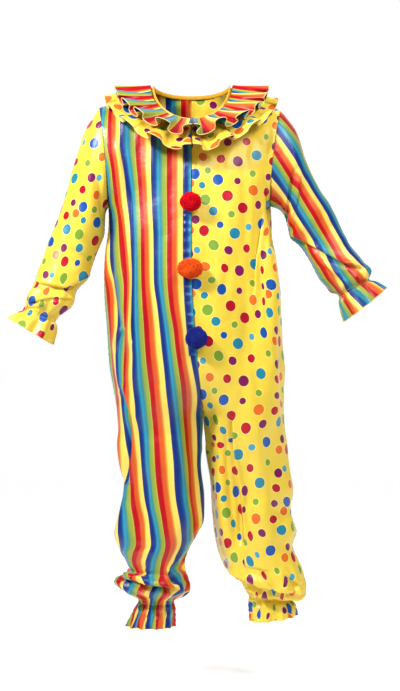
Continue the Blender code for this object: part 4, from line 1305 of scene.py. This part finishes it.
def addSleeve(name, side, material):
    # rings from the armhole to the hem, then folds in front and relief all round along the normals; arc is
    # the length round a ring from the top line, and down the length of the middle line from the armhole
    columns = sleeve["columns"]
    ring = np.linspace(0, 1, sleeve["rings"]) ** sleeve["ringPower"] * (len(sleeveRows[side]) - 1)
    angle = np.arange(columns) / columns * 2 * math.pi - math.pi
    points = sleeveRing(side, ring[:, None] * np.ones_like(angle), angle * np.ones((len(ring), 1)))
    closing = np.concatenate((points, points[:, :1]), axis=1)
    uv = sleeveCloth(side, closing, np.append(angle, math.pi)[None, :])
    arc = np.pad(np.cumsum(np.linalg.norm(np.diff(closing, axis=1), axis=-1), axis=1), ((0, 0), (1, 0)))
    arc -= arc[:, columns // 2][:, None]
    arc, seam = arc[:, :-1], arc[:, -1:]
    steps = np.linalg.norm(np.diff(points.mean(axis=1), axis=0), axis=1)
    down = np.concatenate(([0.0], np.cumsum(steps)))[:, None] * np.ones_like(arc)

    normals = gridNormals(points, -side, closed=True)
    elastic = np.exp(-(((ring[:, None] - sleeve["elasticRing"]) / sleeve["elasticHalf"]) ** 2))
    turns = angle / (2 * math.pi) + 0.5
    calm = smoothStep(np.minimum(turns, 1 - turns) / sleeve["underCalm"])
    calm = calm * smoothStep(down / sleeve["armholeCalm"])
    seed = 131 + 5 * side
    relief = wrinkles(sleeve["slack"], arc, down, seed) + wrinkles(sleeve["wrinkle"], arc, down, seed + 9)
    relief = relief * calm * (1 - sleeve["elasticCalm"] * elastic)
    relief += sleeve["elasticHeight"] * np.cos(sleeve["elasticGathers"] * angle) * elastic
    relief += seamRelief(np.abs(np.abs(arc) - seam), down)
    relief += seamRelief(down, arc)
    inFront = smoothStep(np.sin(angle) * 4)
    folded = foldLines(points, normals, creaseRows[name])
    strength = calm * inFront * (1 - sleeve["elasticFlat"] * elastic)
    points = points + (folded - points) * strength[..., None] + normals * relief[..., None]
    top = points[0, columns // 2]
    across = unit(np.cross(top - points[0, 0], np.array((0.0, 1.0, 0.0)))) * side
    points[0] += across * body["seamGap"] * np.sign(across[0]) * side
    piece = addGrid(name + "_cloth", points, uv, material, body["cloth"], closed=True, flip=side < 0)
    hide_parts(name)
    return piece, points


sleeves = {}
sleevePoints = {}
for name, side, material, finish in (
    ("right_sleeve", -1, dottedSleeve, "dotted_satin"),
    ("left_sleeve", 1, stripedSleeve, "striped_satin"),
):
    sleeves[name], sleevePoints[name] = addSleeve(name, side, material)
print("sleeves made")

# collar: two gathered ruffles and the binding
collar = {
    "opening": 0.008,  # radians left free at the front on each side
    "unevenness": (0.05, 3),  # radians, and times round
    "sway": (0.5, 5, 2),  # share of the second swing, its drift in radians, and times round
    "sideCalm": 0.30,
    "slopePower": 3,
    "wavePower": 1.3,
    "waveChange": (0.16, 6.3),  # share of the height, and radians for one change
    "smallWave": (0.0007, 3, 1.2),  # height, times as many, shift
    "curl": (0.0016, 4, 7),  # height, power, times round
    "rows": 26,
    "perWave": 22,
    "root": 0.0010,
    "solidCloth": 0.0020,
}

# width of cloth, slopes below level at front, left, back and right, waves, height at root and edge, lift
ruffleRows = {
    "collar_ruffle_lower": (0.127, 46.0, 21.5, 43.0, 17.0, 16, 0.0010, 0.0120, 0.0010),
    "collar_ruffle_upper": (0.097, 33.0, 13.5, 28.0, 10.5, 19, 0.0010, 0.0165, 0.0060),
}

# flat length of cloth, the way the print runs, its drift at the sides, sway of the waves, seed
ruffleCuts = {
    "collar_ruffle_lower": (1.390, 1, 0.0000, 0.60, 3),
    "collar_ruffle_upper": (1.710, -1, 0.0225, 0.95, 5),
}


def addRuffle(name, material):
    # a cone from the neckline whose waves, reach^power (1 + cos phase), grow to the edge and lean over
    # sideways as they grow; each wave takes an even share of the flat length
    width, front, left, back, right, waves, root, edge, lift = ruffleRows[name]
    flatLength, grain, drift, sway, seed = ruffleCuts[name]
    phase = np.linspace(0, waves * 2 * math.pi, waves * collar["perWave"] + 1)
    opening = np.linspace(collar["opening"], -collar["opening"], len(phase))
    most, times = collar["unevenness"]
    uneven = most * np.sin(phase / waves * times)
    reach = np.linspace(collar["root"], width, collar["rows"] + 1)[:, None]
    grown = (reach / width) ** collar["wavePower"]
    second, roaming, times = collar["sway"]
    swing = np.sin(2 * phase) + second * np.sin(phase + roaming * np.sin(phase / waves * times + seed))
    turn = phase / waves + opening + uneven + sway * grown / waves * swing
    away = np.stack((np.sin(turn), -np.cos(turn), 0 * turn), axis=-1)
    ahead = np.cos(turn)
    side = np.where(away[..., 0] > 0, left, right)
    share = np.abs(ahead) ** collar["slopePower"]
    slope = np.radians(side + (np.where(ahead > 0, front, back) - side) * share)[..., None]
    upright = np.array((0.0, 0.0, 1.0))
    outward = away * np.cos(slope) - upright * np.sin(slope)
    upward = away * np.sin(slope) + upright * np.cos(slope)
    full = edge * (1 - collar["sideCalm"] * away[..., 0] ** 2)
    change, length = collar["waveChange"]
    vary = 1 + change * softNoise(phase / length + 3 * seed, 0 * phase, seed)
    height = lift + collar["solidCloth"] + (root + (full - root) * grown) * (1 + np.cos(phase)) * vary
    small, times, shift = collar["smallWave"]
    height = height + small * grown * np.cos(times * phase + shift)
    small, power, times = collar["curl"]
    height = height + small * grown**power * np.sin(phase / waves * times + seed)
    points = neckPoint(turn) + outward * reach[..., None] + upward * height[..., None]
    outer = np.concatenate(([0.0], np.cumsum(np.linalg.norm(np.diff(points[-1], axis=0), axis=1))))
    across = np.interp(outer, outer[:: collar["perWave"]], np.linspace(0, grain * flatLength, waves + 1))
    across = across + drift * np.sin(phase / waves)
    uv = np.stack(np.broadcast_arrays(across[None, :], reach), axis=-1)
    piece = addGrid(name + "_cloth", points, uv, material, body["cloth"], flip=True)
    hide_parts(name)
    print(name, "edge length", round(float(outer[-1]), 3))
    return piece, points


lowerRuffle, lowerEdge = addRuffle("collar_ruffle_lower", dottedRuffle)
upperRuffle, upperEdge = addRuffle("collar_ruffle_upper", stripedRuffle)
print("ruffles made")


def sweep(name, path, radius, sides, material, closed=False):
    # a round cord of thread: at each point of the path a circle, aside cos turn + above sin turn, square to
    # the path
    path = np.asarray(path)
    ahead = np.gradient(path, axis=0)
    if closed:
        ahead = np.roll(path, -1, axis=0) - np.roll(path, 1, axis=0)
    ahead = unit(ahead)
    steady = np.array((0.13, 0.21, 0.97))  # no path follows this direction
    aside = unit(np.cross(ahead, steady))
    above = np.cross(aside, ahead)
    turn = (np.arange(sides) / sides * 2 * math.pi)[:, None]
    circle = aside[:, None] * np.cos(turn) * radius + above[:, None] * np.sin(turn) * radius
    points = (path[:, None] + circle).reshape(-1, 3)
    count = len(path)
    i, j = np.meshgrid(np.arange(count if closed else count - 1), np.arange(sides), indexing="ij")
    here, following, nextJ = i * sides, ((i + 1) % count) * sides, (j + 1) % sides
    faces = np.stack((here + j, following + j, following + nextJ, here + nextJ), axis=-1)
    faces = faces.reshape(-1, 4).tolist()
    if not closed:
        faces.append(list(range(sides)))
        faces.append(list(range((count - 1) * sides, count * sides))[::-1])
    return addMesh(name, points, faces, material)


overlock = {"ruffleRadius": 0.0011, "cuffRadius": 0.0010, "sides": 6}
for name, points, finish in (
    ("collar_ruffle_lower", lowerEdge, "dotted_satin"),
    ("collar_ruffle_upper", upperEdge, "striped_satin"),
):
    radius, sides = overlock["ruffleRadius"], overlock["sides"]
    sweep(name + "_overlock", points[-1], radius, sides, overlockThread)

binding = {
    "height": 0.0100,
    "sink": 0.0010,
    "lean": 0.30,
    "clearance": 0.0018,
    "thickness": 0.0026,
    "flatness": 0.6,
    "puffs": (0.10, 61),  # share of the thickness, and how many round
    "steps": 220,
    "corners": 7,
}


def addBinding():
    # a folded strip carried round the neck ellipse: its section is two half circles, the lower one
    # flattened, joined by straight sides, and its thickness swells a little with the sine of the turn
    turn = np.linspace(collar["opening"], 2 * math.pi - collar["opening"], binding["steps"])
    away = np.stack((np.sin(turn), -np.cos(turn), 0 * turn), axis=-1)
    upward = unit(np.array((0.0, 0.0, 1.0)) - binding["lean"] * away)
    base = neckPoint(turn) - away * binding["clearance"]
    half, sink = binding["thickness"] / 2, binding["sink"]
    low = half * binding["flatness"]
    bend = np.linspace(0, math.pi, binding["corners"])
    top = np.stack((half * np.cos(bend), binding["height"] - half + half * np.sin(bend)), axis=-1)
    bottom = np.stack((half * np.cos(bend + math.pi), low - sink + low * np.sin(bend + math.pi)), axis=-1)
    loop = np.concatenate((top, bottom))
    swell, times = binding["puffs"]
    aside = (loop[:, 0] * (1 + swell * np.sin(turn * times)[:, None]) - half)[..., None]
    points = base[:, None] + away[:, None] * aside + upward[:, None] * loop[:, 1][None, :, None]
    length = np.concatenate(([0.0], np.cumsum(np.linalg.norm(np.diff(base, axis=0), axis=1))))
    sides = np.linalg.norm(np.diff(np.vstack((loop, loop[:1])), axis=0), axis=1)
    around = np.concatenate(([0.0], np.cumsum(sides)))
    uv = np.stack(np.broadcast_arrays(length[:, None], around[None, :]), axis=-1)
    piece = addGrid("neck_binding_cloth", points, uv, bindingSatin, closed=True)
    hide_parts("neck_binding")
    return piece, base, upward, away


bindingPiece, bindingBase, bindingUp, bindingAway = addBinding()
print("binding made")

# front placket: the lapped edge of the opening
placket = {
    "width": 0.022,
    "top": 0.118,
    "bottom": 0.722,
    "lift": 0.0008,
    "solidCloth": 0.0020,
    "rows": 190,
    "columns": 12,
    "ease": 1.07,
    "puckerHeight": 0.0011,
    "puckerLength": 0.021,
    "puckerDrift": (2, 37),  # radians to and fro, and radians a metre
    "puckerFrom": 0.30,
    "puckerGrowth": 0.05,
    "puckerLeast": 0.4,  # share of the height at the fold
    "puckerRise": 3,  # full at a third of the width
    "puckerEnd": (0.75, 4),  # gone in the last quarter of the width
    "edgeDip": 0.0012,
    "edgeStart": (0.8, 5),  # the dip lies in the last fifth
}


def addPlacket():
    # a strip of the right front's own rows, read off at even drops and lifted along the normals; it is
    # pressed flat at its fold and puckered, with the sine of the drop, along its stitching
    centre = panelPoints["right_front"][panel["neckRows"]:]
    drops = np.linspace(placket["top"], placket["bottom"], placket["rows"])
    reach = np.linspace(body["seamGap"], placket["width"], placket["columns"] + 1)
    away = np.pad(np.cumsum(np.linalg.norm(np.diff(centre, axis=1), axis=-1), axis=1), ((0, 0), (1, 0)))
    rows = np.empty((len(centre), len(reach), 3))
    for axis in range(3):
        rows[..., axis] = np.array([np.interp(reach, a, c) for a, c in zip(away, centre[..., axis])])
    points = np.empty((len(drops), len(reach), 3))
    for column in range(len(reach)):
        for axis in range(3):
            points[:, column, axis] = np.interp(drops, -rows[:, 0, 2], rows[:, column, axis])
    share = reach / placket["width"]
    (drift, turns), least = placket["puckerDrift"], placket["puckerLeast"]
    pucker = np.sin(drops * 2 * math.pi / placket["puckerLength"] + drift * np.sin(drops * turns))[:, None]
    strong = smoothStep((drops - placket["puckerFrom"]) / placket["puckerGrowth"])[:, None]
    strong = strong * (least + (1 - least) * smoothStep(share * placket["puckerRise"]))
    (last, fall), (start, growth) = placket["puckerEnd"], placket["edgeStart"]
    relief = placket["puckerHeight"] * pucker * strong * (1 - smoothStep((share - last) * fall))
    relief = relief - placket["edgeDip"] * smoothStep((share - start) * growth)
    lift = placket["lift"] + placket["solidCloth"]
    points = points + gridNormals(points, -1) * (lift + relief)[..., None]
    uv = np.stack(np.broadcast_arrays(reach[None, :] * placket["ease"], drops[:, None]), axis=-1)
    piece = addGrid("front_placket_cloth", points, uv, stripedBody, body["cloth"])
    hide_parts("front_placket")
    return piece, points


placketPiece, placketPoints = addPlacket()
print("placket made")

# strands: locks of yarn and stitches of thread, each a few rings of corners closed at both ends


def strandRing(spine, aside, above, radius, thick, corners):
    # the corners round each point of the spines: spine + (aside cos turn + above sin turn) radius thick
    turns = [corner * 2 * math.pi / corners for corner in range(corners)]
    return [spine + (aside * math.cos(turn) + above * math.sin(turn)) * radius * thick for turn in turns]


def strandFaces(count, rings, corners, flip=False):
    # sides and end caps of each strand, whose rings of corners are numbered one after the other
    base = np.arange(count)[:, None] * rings * corners
    faces = []
    for ring in range(rings - 1):
        for corner in range(corners):
            after = (corner + 1) % corners
            quad = ring * corners + np.array((corner, after, corners + after, corners + corner))
            faces.append(base + (quad[[0, 3, 2, 1]] if flip else quad))
    caps = [base + np.arange((rings - 1) * corners, rings * corners), base + np.arange(corners)[::-1]]
    if flip:
        caps = [cap[:, ::-1] for cap in reversed(caps)]
    return np.concatenate(faces).tolist() + caps[0].tolist() + caps[1].tolist()


# pompoms: yarn cut all round and pressed on the placket
pompom = {
    "locks": 3000,
    "lockWidth": 0.0011,
    "rootDepth": 0.78,  # share of the radius where the locks start
    "scatter": 0.05,
    "unevenness": (-0.10, 0.02),
    "lumps": (0.94, 0.05, 2.2),  # mean length, change, lumps across half the ball
    "bend": 0.16,
    "core": 0.84,
    "coreTurns": 32,
    "coreRings": 18,
    "press": 0.12,  # share of the depth pressed flat
    "standOff": 0.0034,
}

# along each lock: share of its way out from the middle of the ball, thickness
lockRows = ((pompom["rootDepth"], 1.0), (0.92, 1.1), (1.0, 0.55))

# name, drop, shift, width, height, depth, colour, finish
pompomRows = (
    ("pompom_red", 0.320, -0.001, 0.061, 0.055, 0.050, (216, 0, 26), "red_pompom"),
    ("pompom_orange", 0.494, -0.003, 0.072, 0.058, 0.052, (236, 92, 24), "orange_pompom"),
    ("pompom_blue", 0.676, 0.003, 0.063, 0.061, 0.052, (34, 46, 140), "blue_pompom"),
)


def pompomCore(half):
    # the dark inside of the ball: an ellipsoid, (cos u sin v, sin u sin v, cos v) times its half sizes, and
    # its faces
    turns, rings = pompom["coreTurns"], pompom["coreRings"]
    u = np.linspace(0, 2 * math.pi, turns + 1)[:-1]
    u, v = np.meshgrid(u, np.linspace(0, math.pi, rings), indexing="ij")
    ball = np.stack((np.cos(u) * np.sin(v), np.sin(u) * np.sin(v), np.cos(v)), axis=-1)
    i, j = np.meshgrid(np.arange(turns), np.arange(rings - 1), indexing="ij")
    here, following = i * rings, ((i + 1) % turns) * rings
    faces = np.stack((here + j, here + j + 1, following + j + 1, following + j), axis=-1)
    return (ball * half * pompom["core"]).reshape(-1, 3), faces.reshape(-1, 4)


def addPompom(name, drop, shift, width, height, depth, colour, finish, seed):
    # thin three-sided locks round a core: lock n points along the golden spiral, cos polar = 1 - 2 n /
    # count, turn = golden angle times n, scattered and uneven in length; whatever passes the placket is
    # pressed flat on it
    rng = np.random.default_rng(seed)
    count = pompom["locks"]
    number = np.arange(count) + 0.5
    polar = np.arccos(1 - 2 * number / count)
    golden = math.pi * (1 + 5**0.5) * number
    out = np.stack((np.cos(golden) * np.sin(polar), np.sin(golden) * np.sin(polar), np.cos(polar)), axis=-1)
    out = unit(out + rng.normal(0, pompom["scatter"], out.shape))
    least, more, scale = pompom["lumps"]
    lump = least + more * softNoise(out[:, 0] * scale + 7, out[:, 2] * scale + out[:, 1] + 7, seed)
    tip = lump * (1 + rng.uniform(*pompom["unevenness"], count))
    half = np.array((width, depth, height)) / 2
    aside = unit(np.cross(out, unit(rng.normal(0, 1, out.shape))))
    above = np.cross(aside, out)
    rings = []
    for share, thick in lockRows:
        bend = aside * (share - pompom["rootDepth"]) * pompom["bend"]
        spine = (out * (tip * share)[:, None] + bend) * half
        rings += strandRing(spine, aside, above, pompom["lockWidth"], thick, 3)
    points = np.stack(rings, axis=1).reshape(-1, 3)
    core, coreFaces = pompomCore(half)
    faces = strandFaces(count, len(lockRows), 3) + (coreFaces + len(points)).tolist()
    x = float(torso("middle", drop)) + shift
    y = float(torso("front", drop)) - pompom["standOff"] - depth * (0.5 - pompom["press"])
    points = np.concatenate((points, core)) + np.array((x, y, -drop))
    seat = torso("front", -points[:, 2]) - pompom["standOff"]
    points[:, 1] = np.minimum(points[:, 1], seat)
    piece = addMesh(name + "_yarn", points, faces, yarn(name + " yarn", colour), smooth=False)
    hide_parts(name)


for seed, row in enumerate(pompomRows):
    addPompom(*row, seed + 21)
print("pompoms made")

# overlocked hems of the four cuffs and the stitches
stitch = {
    "length": 0.0030,
    "pitch": 0.0042,
    "radius": 0.00035,
    "bow": 0.0004,
    "probe": 0.0005,
    "above": 0.0004,
    "sleeveRows": (-4, 3),  # rows of the sleeve from the middle of its elastic
    "legDrops": (-0.005, 0.005),
    "placketColumn": -3,
    "placketAbove": 0.0002,
    "bindingHeight": 0.0022,
    "bindingOut": 0.0002,
}

# along each stitch: share of its length from the middle, thickness
stitchRows = ((-0.5, 0.35), (-0.3, 0.9), (0.0, 1.1), (0.3, 0.9), (0.5, 0.35))


def onPath(places, length, path):
    # the points of a path at given lengths along it, straight between its own points
    return np.stack([np.interp(places, length, path[:, axis]) for axis in range(3)], axis=-1)


def addStitches(name, path, normals, material, closed=False):
    # short rounded threads laid end to end along a path, each bowed up with 1 - 4 share^2
    path = np.asarray(path, dtype=float)
    normals = np.asarray(normals, dtype=float)
    if closed:
        path = np.vstack((path, path[:1]))
        normals = np.vstack((normals, normals[:1]))
    length = np.concatenate(([0.0], np.cumsum(np.linalg.norm(np.diff(path, axis=0), axis=1))))
    count = int(length[-1] / stitch["pitch"])
    places = (np.arange(count) + 0.5) * length[-1] / count
    at = onPath(places, length, path)
    later = onPath(places + stitch["probe"], length, path)
    ahead = unit(later - onPath(places - stitch["probe"], length, path))
    up = unit(onPath(places, length, normals))
    aside = np.cross(ahead, up)
    rings = []
    for share, thick in stitchRows:
        spine = at + ahead * share * stitch["length"] + up * (stitch["bow"] * (1 - 4 * share * share))
        rings += strandRing(spine, aside, up, stitch["radius"], thick, 5)
    points = np.stack(rings, axis=1).reshape(-1, 3)
    piece = addMesh(name, points, strandFaces(count, len(stitchRows), 5, flip=True), material)
    return piece


def addHem(name, path):
    # the overlocked edge of a cuff
    hem = sweep(name, path, overlock["cuffRadius"], overlock["sides"], overlockThread, closed=True)
    return hem


def sleeveTrims(name, side):
    # the hem of a sleeve, and a row of stitches on each side of the middle of its elastic
    rings = sleevePoints[name]
    pieces = [addHem(name + "_hem_overlock", rings[-1])]
    normals = gridNormals(rings, -side, closed=True)
    along = sleeve["elasticRing"] / (len(sleeveRows[side]) - 1)
    middle = int(round(along ** (1 / sleeve["ringPower"]) * sleeve["rings"]))
    for number, offset in enumerate(stitch["sleeveRows"]):
        row = middle + offset
        line = rings[row] + normals[row] * stitch["above"]
        stitches = f"{name}_elastic_stitches_{number + 1}"
        pieces.append(addStitches(stitches, line, normals[row], yellowThread, closed=True))
    return pieces


def legTrims(half, side):
    # the hem of a leg round both panels, and a row of stitches above and below the middle of its elastic
    front, back = panelPoints[half + "_front"], panelPoints[half + "_back"]
    pieces = [addHem(half + "_leg_hem_overlock", np.vstack((front[-1], back[-1][::-1])))]
    frontNormals, backNormals = gridNormals(front, side), gridNormals(back, -side)
    drops = -front[:, front.shape[1] // 2, 2]
    for number, offset in enumerate(stitch["legDrops"]):
        row = int(np.argmin(np.abs(drops - panel["elasticDrop"][side] - offset)))
        line = np.vstack((front[row], back[row][::-1]))
        normals = np.vstack((frontNormals[row], backNormals[row][::-1]))
        line = line + normals * stitch["above"]
        stitches = f"{half}_leg_elastic_stitches_{number + 1}"
        pieces.append(addStitches(stitches, line, normals, yellowThread, closed=True))
    return pieces


trims = {
    "right_sleeve": sleeveTrims("right_sleeve", -1),
    "left_sleeve": sleeveTrims("left_sleeve", 1),
    "right_front": legTrims("right", -1),
    "left_front": legTrims("left", 1),
}
placketUp = gridNormals(placketPoints, -1)[:, stitch["placketColumn"]]
placketLine = placketPoints[:, stitch["placketColumn"]] + placketUp * stitch["placketAbove"]
placketStitches = addStitches("front_placket_stitches", placketLine, placketUp, navyThread)
bindingLine = bindingBase + bindingUp * stitch["bindingHeight"]
bindingLine = bindingLine - bindingAway * (binding["thickness"] + stitch["bindingOut"])
bindingStitches = addStitches(
    "neck_binding_stitches", bindingLine, -bindingAway, yellowThread,
)
print("hems and stitches made")

# floor, light and camera
studio = {
    "floorDrop": 1.600,
    "floorFront": -7.0,
    "wall": 16.0,
    "wallTop": 24.0,
    "bend": 2.0,
    "halfWidth": 12.0,
    "paperTones": (0.78, 0.81),
    "paperGrain": 3,
    "paperGlow": 0.66,
    "glowFrom": -1.2,
    "glowFull": 0.0,
    "camera": (0.023, -5.0, -0.695),
    "lens": 96.46,
    "sensor": 36.0,
    "furthest": 60,
    "sky": 0.16,
}

# name, place, aim, size, power in watts
lampRows = (
    ("key light", (-1.7, -1.6, 1.15), (0.0, 0.0, -0.2), 0.4, 112),
    ("fill light", (1.0, -2.1, 1.2), (0.0, 0.0, 0.0), 1.0, 40),
    ("top light", (1.8, -0.9, 1.5), (0.0, 0.0, -0.5), 0.7, 36),
)


def addPaper():
    # a pale sweep: floor, a quarter circle and wall, with a glow that grows with the distance behind the
    # garment
    turn = np.linspace(0, math.pi / 2, 12)
    bend, wall = studio["bend"], studio["wall"]
    y = np.concatenate(([studio["floorFront"]], wall - bend + bend * np.sin(turn), [wall]))
    z = np.concatenate(([0.0], bend - bend * np.cos(turn), [studio["wallTop"]])) - studio["floorDrop"]
    x = np.linspace(-studio["halfWidth"], studio["halfWidth"], 3)
    points = np.stack(np.broadcast_arrays(x[None, :], y[:, None], z[:, None]), axis=-1)
    paper, shader, nodes, place = newMaterial("pale paper")
    dark, light = ((tone, tone, tone, 1.0) for tone in studio["paperTones"])
    grain = noise(nodes, place, studio["paperGrain"])
    nodes.put(shader.inputs["Base Color"], nodes.mix(grain, dark, light))
    shader.inputs["Roughness"].default_value = 0.9
    shader.inputs["Specular IOR Level"].default_value = 0.1
    shader.inputs["Emission Color"].default_value = (1, 1, 1, 1)
    depth = nodes.add("ShaderNodeSeparateXYZ", (place,)).outputs[1]
    span = (studio["glowFrom"], studio["glowFull"])
    behind = nodes.add("ShaderNodeMapRange", (depth, *span, 0.0, studio["paperGlow"]))
    nodes.put(shader.inputs["Emission Strength"], behind.outputs[0])
    addGrid("paper_sweep", points, points[..., :2] * 0.1, paper, flip=True)


def addLamp(name, place, aim, size, power):
    # a square area lamp turned from straight down towards its aim
    data = bpy.data.lights.new(name, "AREA")
    data.size = size
    data.energy = power
    lamp = bpy.data.objects.new(name, data)
    lamp.location = place
    x, y, z = np.array(aim) - np.array(place)
    lamp.rotation_euler = (math.acos(-z / math.hypot(x, y, z)), 0, math.atan2(y, x) - math.pi / 2)
    bpy.context.scene.collection.objects.link(lamp)


def addStudio():
    # the paper, two broad lamps in front and one above, a white sky, and a long lens straight in front
    scene = bpy.context.scene
    addPaper()
    for row in lampRows:
        addLamp(*row)
    world = bpy.data.worlds.new("white sky")
    world.use_nodes = True
    world.node_tree.nodes["Background"].inputs[0].default_value = (1, 1, 1, 1)
    world.node_tree.nodes["Background"].inputs[1].default_value = studio["sky"]
    scene.world = world
    view = bpy.data.cameras.new("camera")
    view.lens = studio["lens"]
    view.sensor_width = studio["sensor"]
    view.sensor_fit = "AUTO"
    view.clip_end = studio["furthest"]
    camera = bpy.data.objects.new("camera", view)
    camera.location = studio["camera"]
    camera.rotation_euler = (math.pi / 2, 0, 0)
    scene.collection.objects.link(camera)
    scene.camera = camera
    scene.view_settings.view_transform = "Standard"


addStudio()
print("scene made")
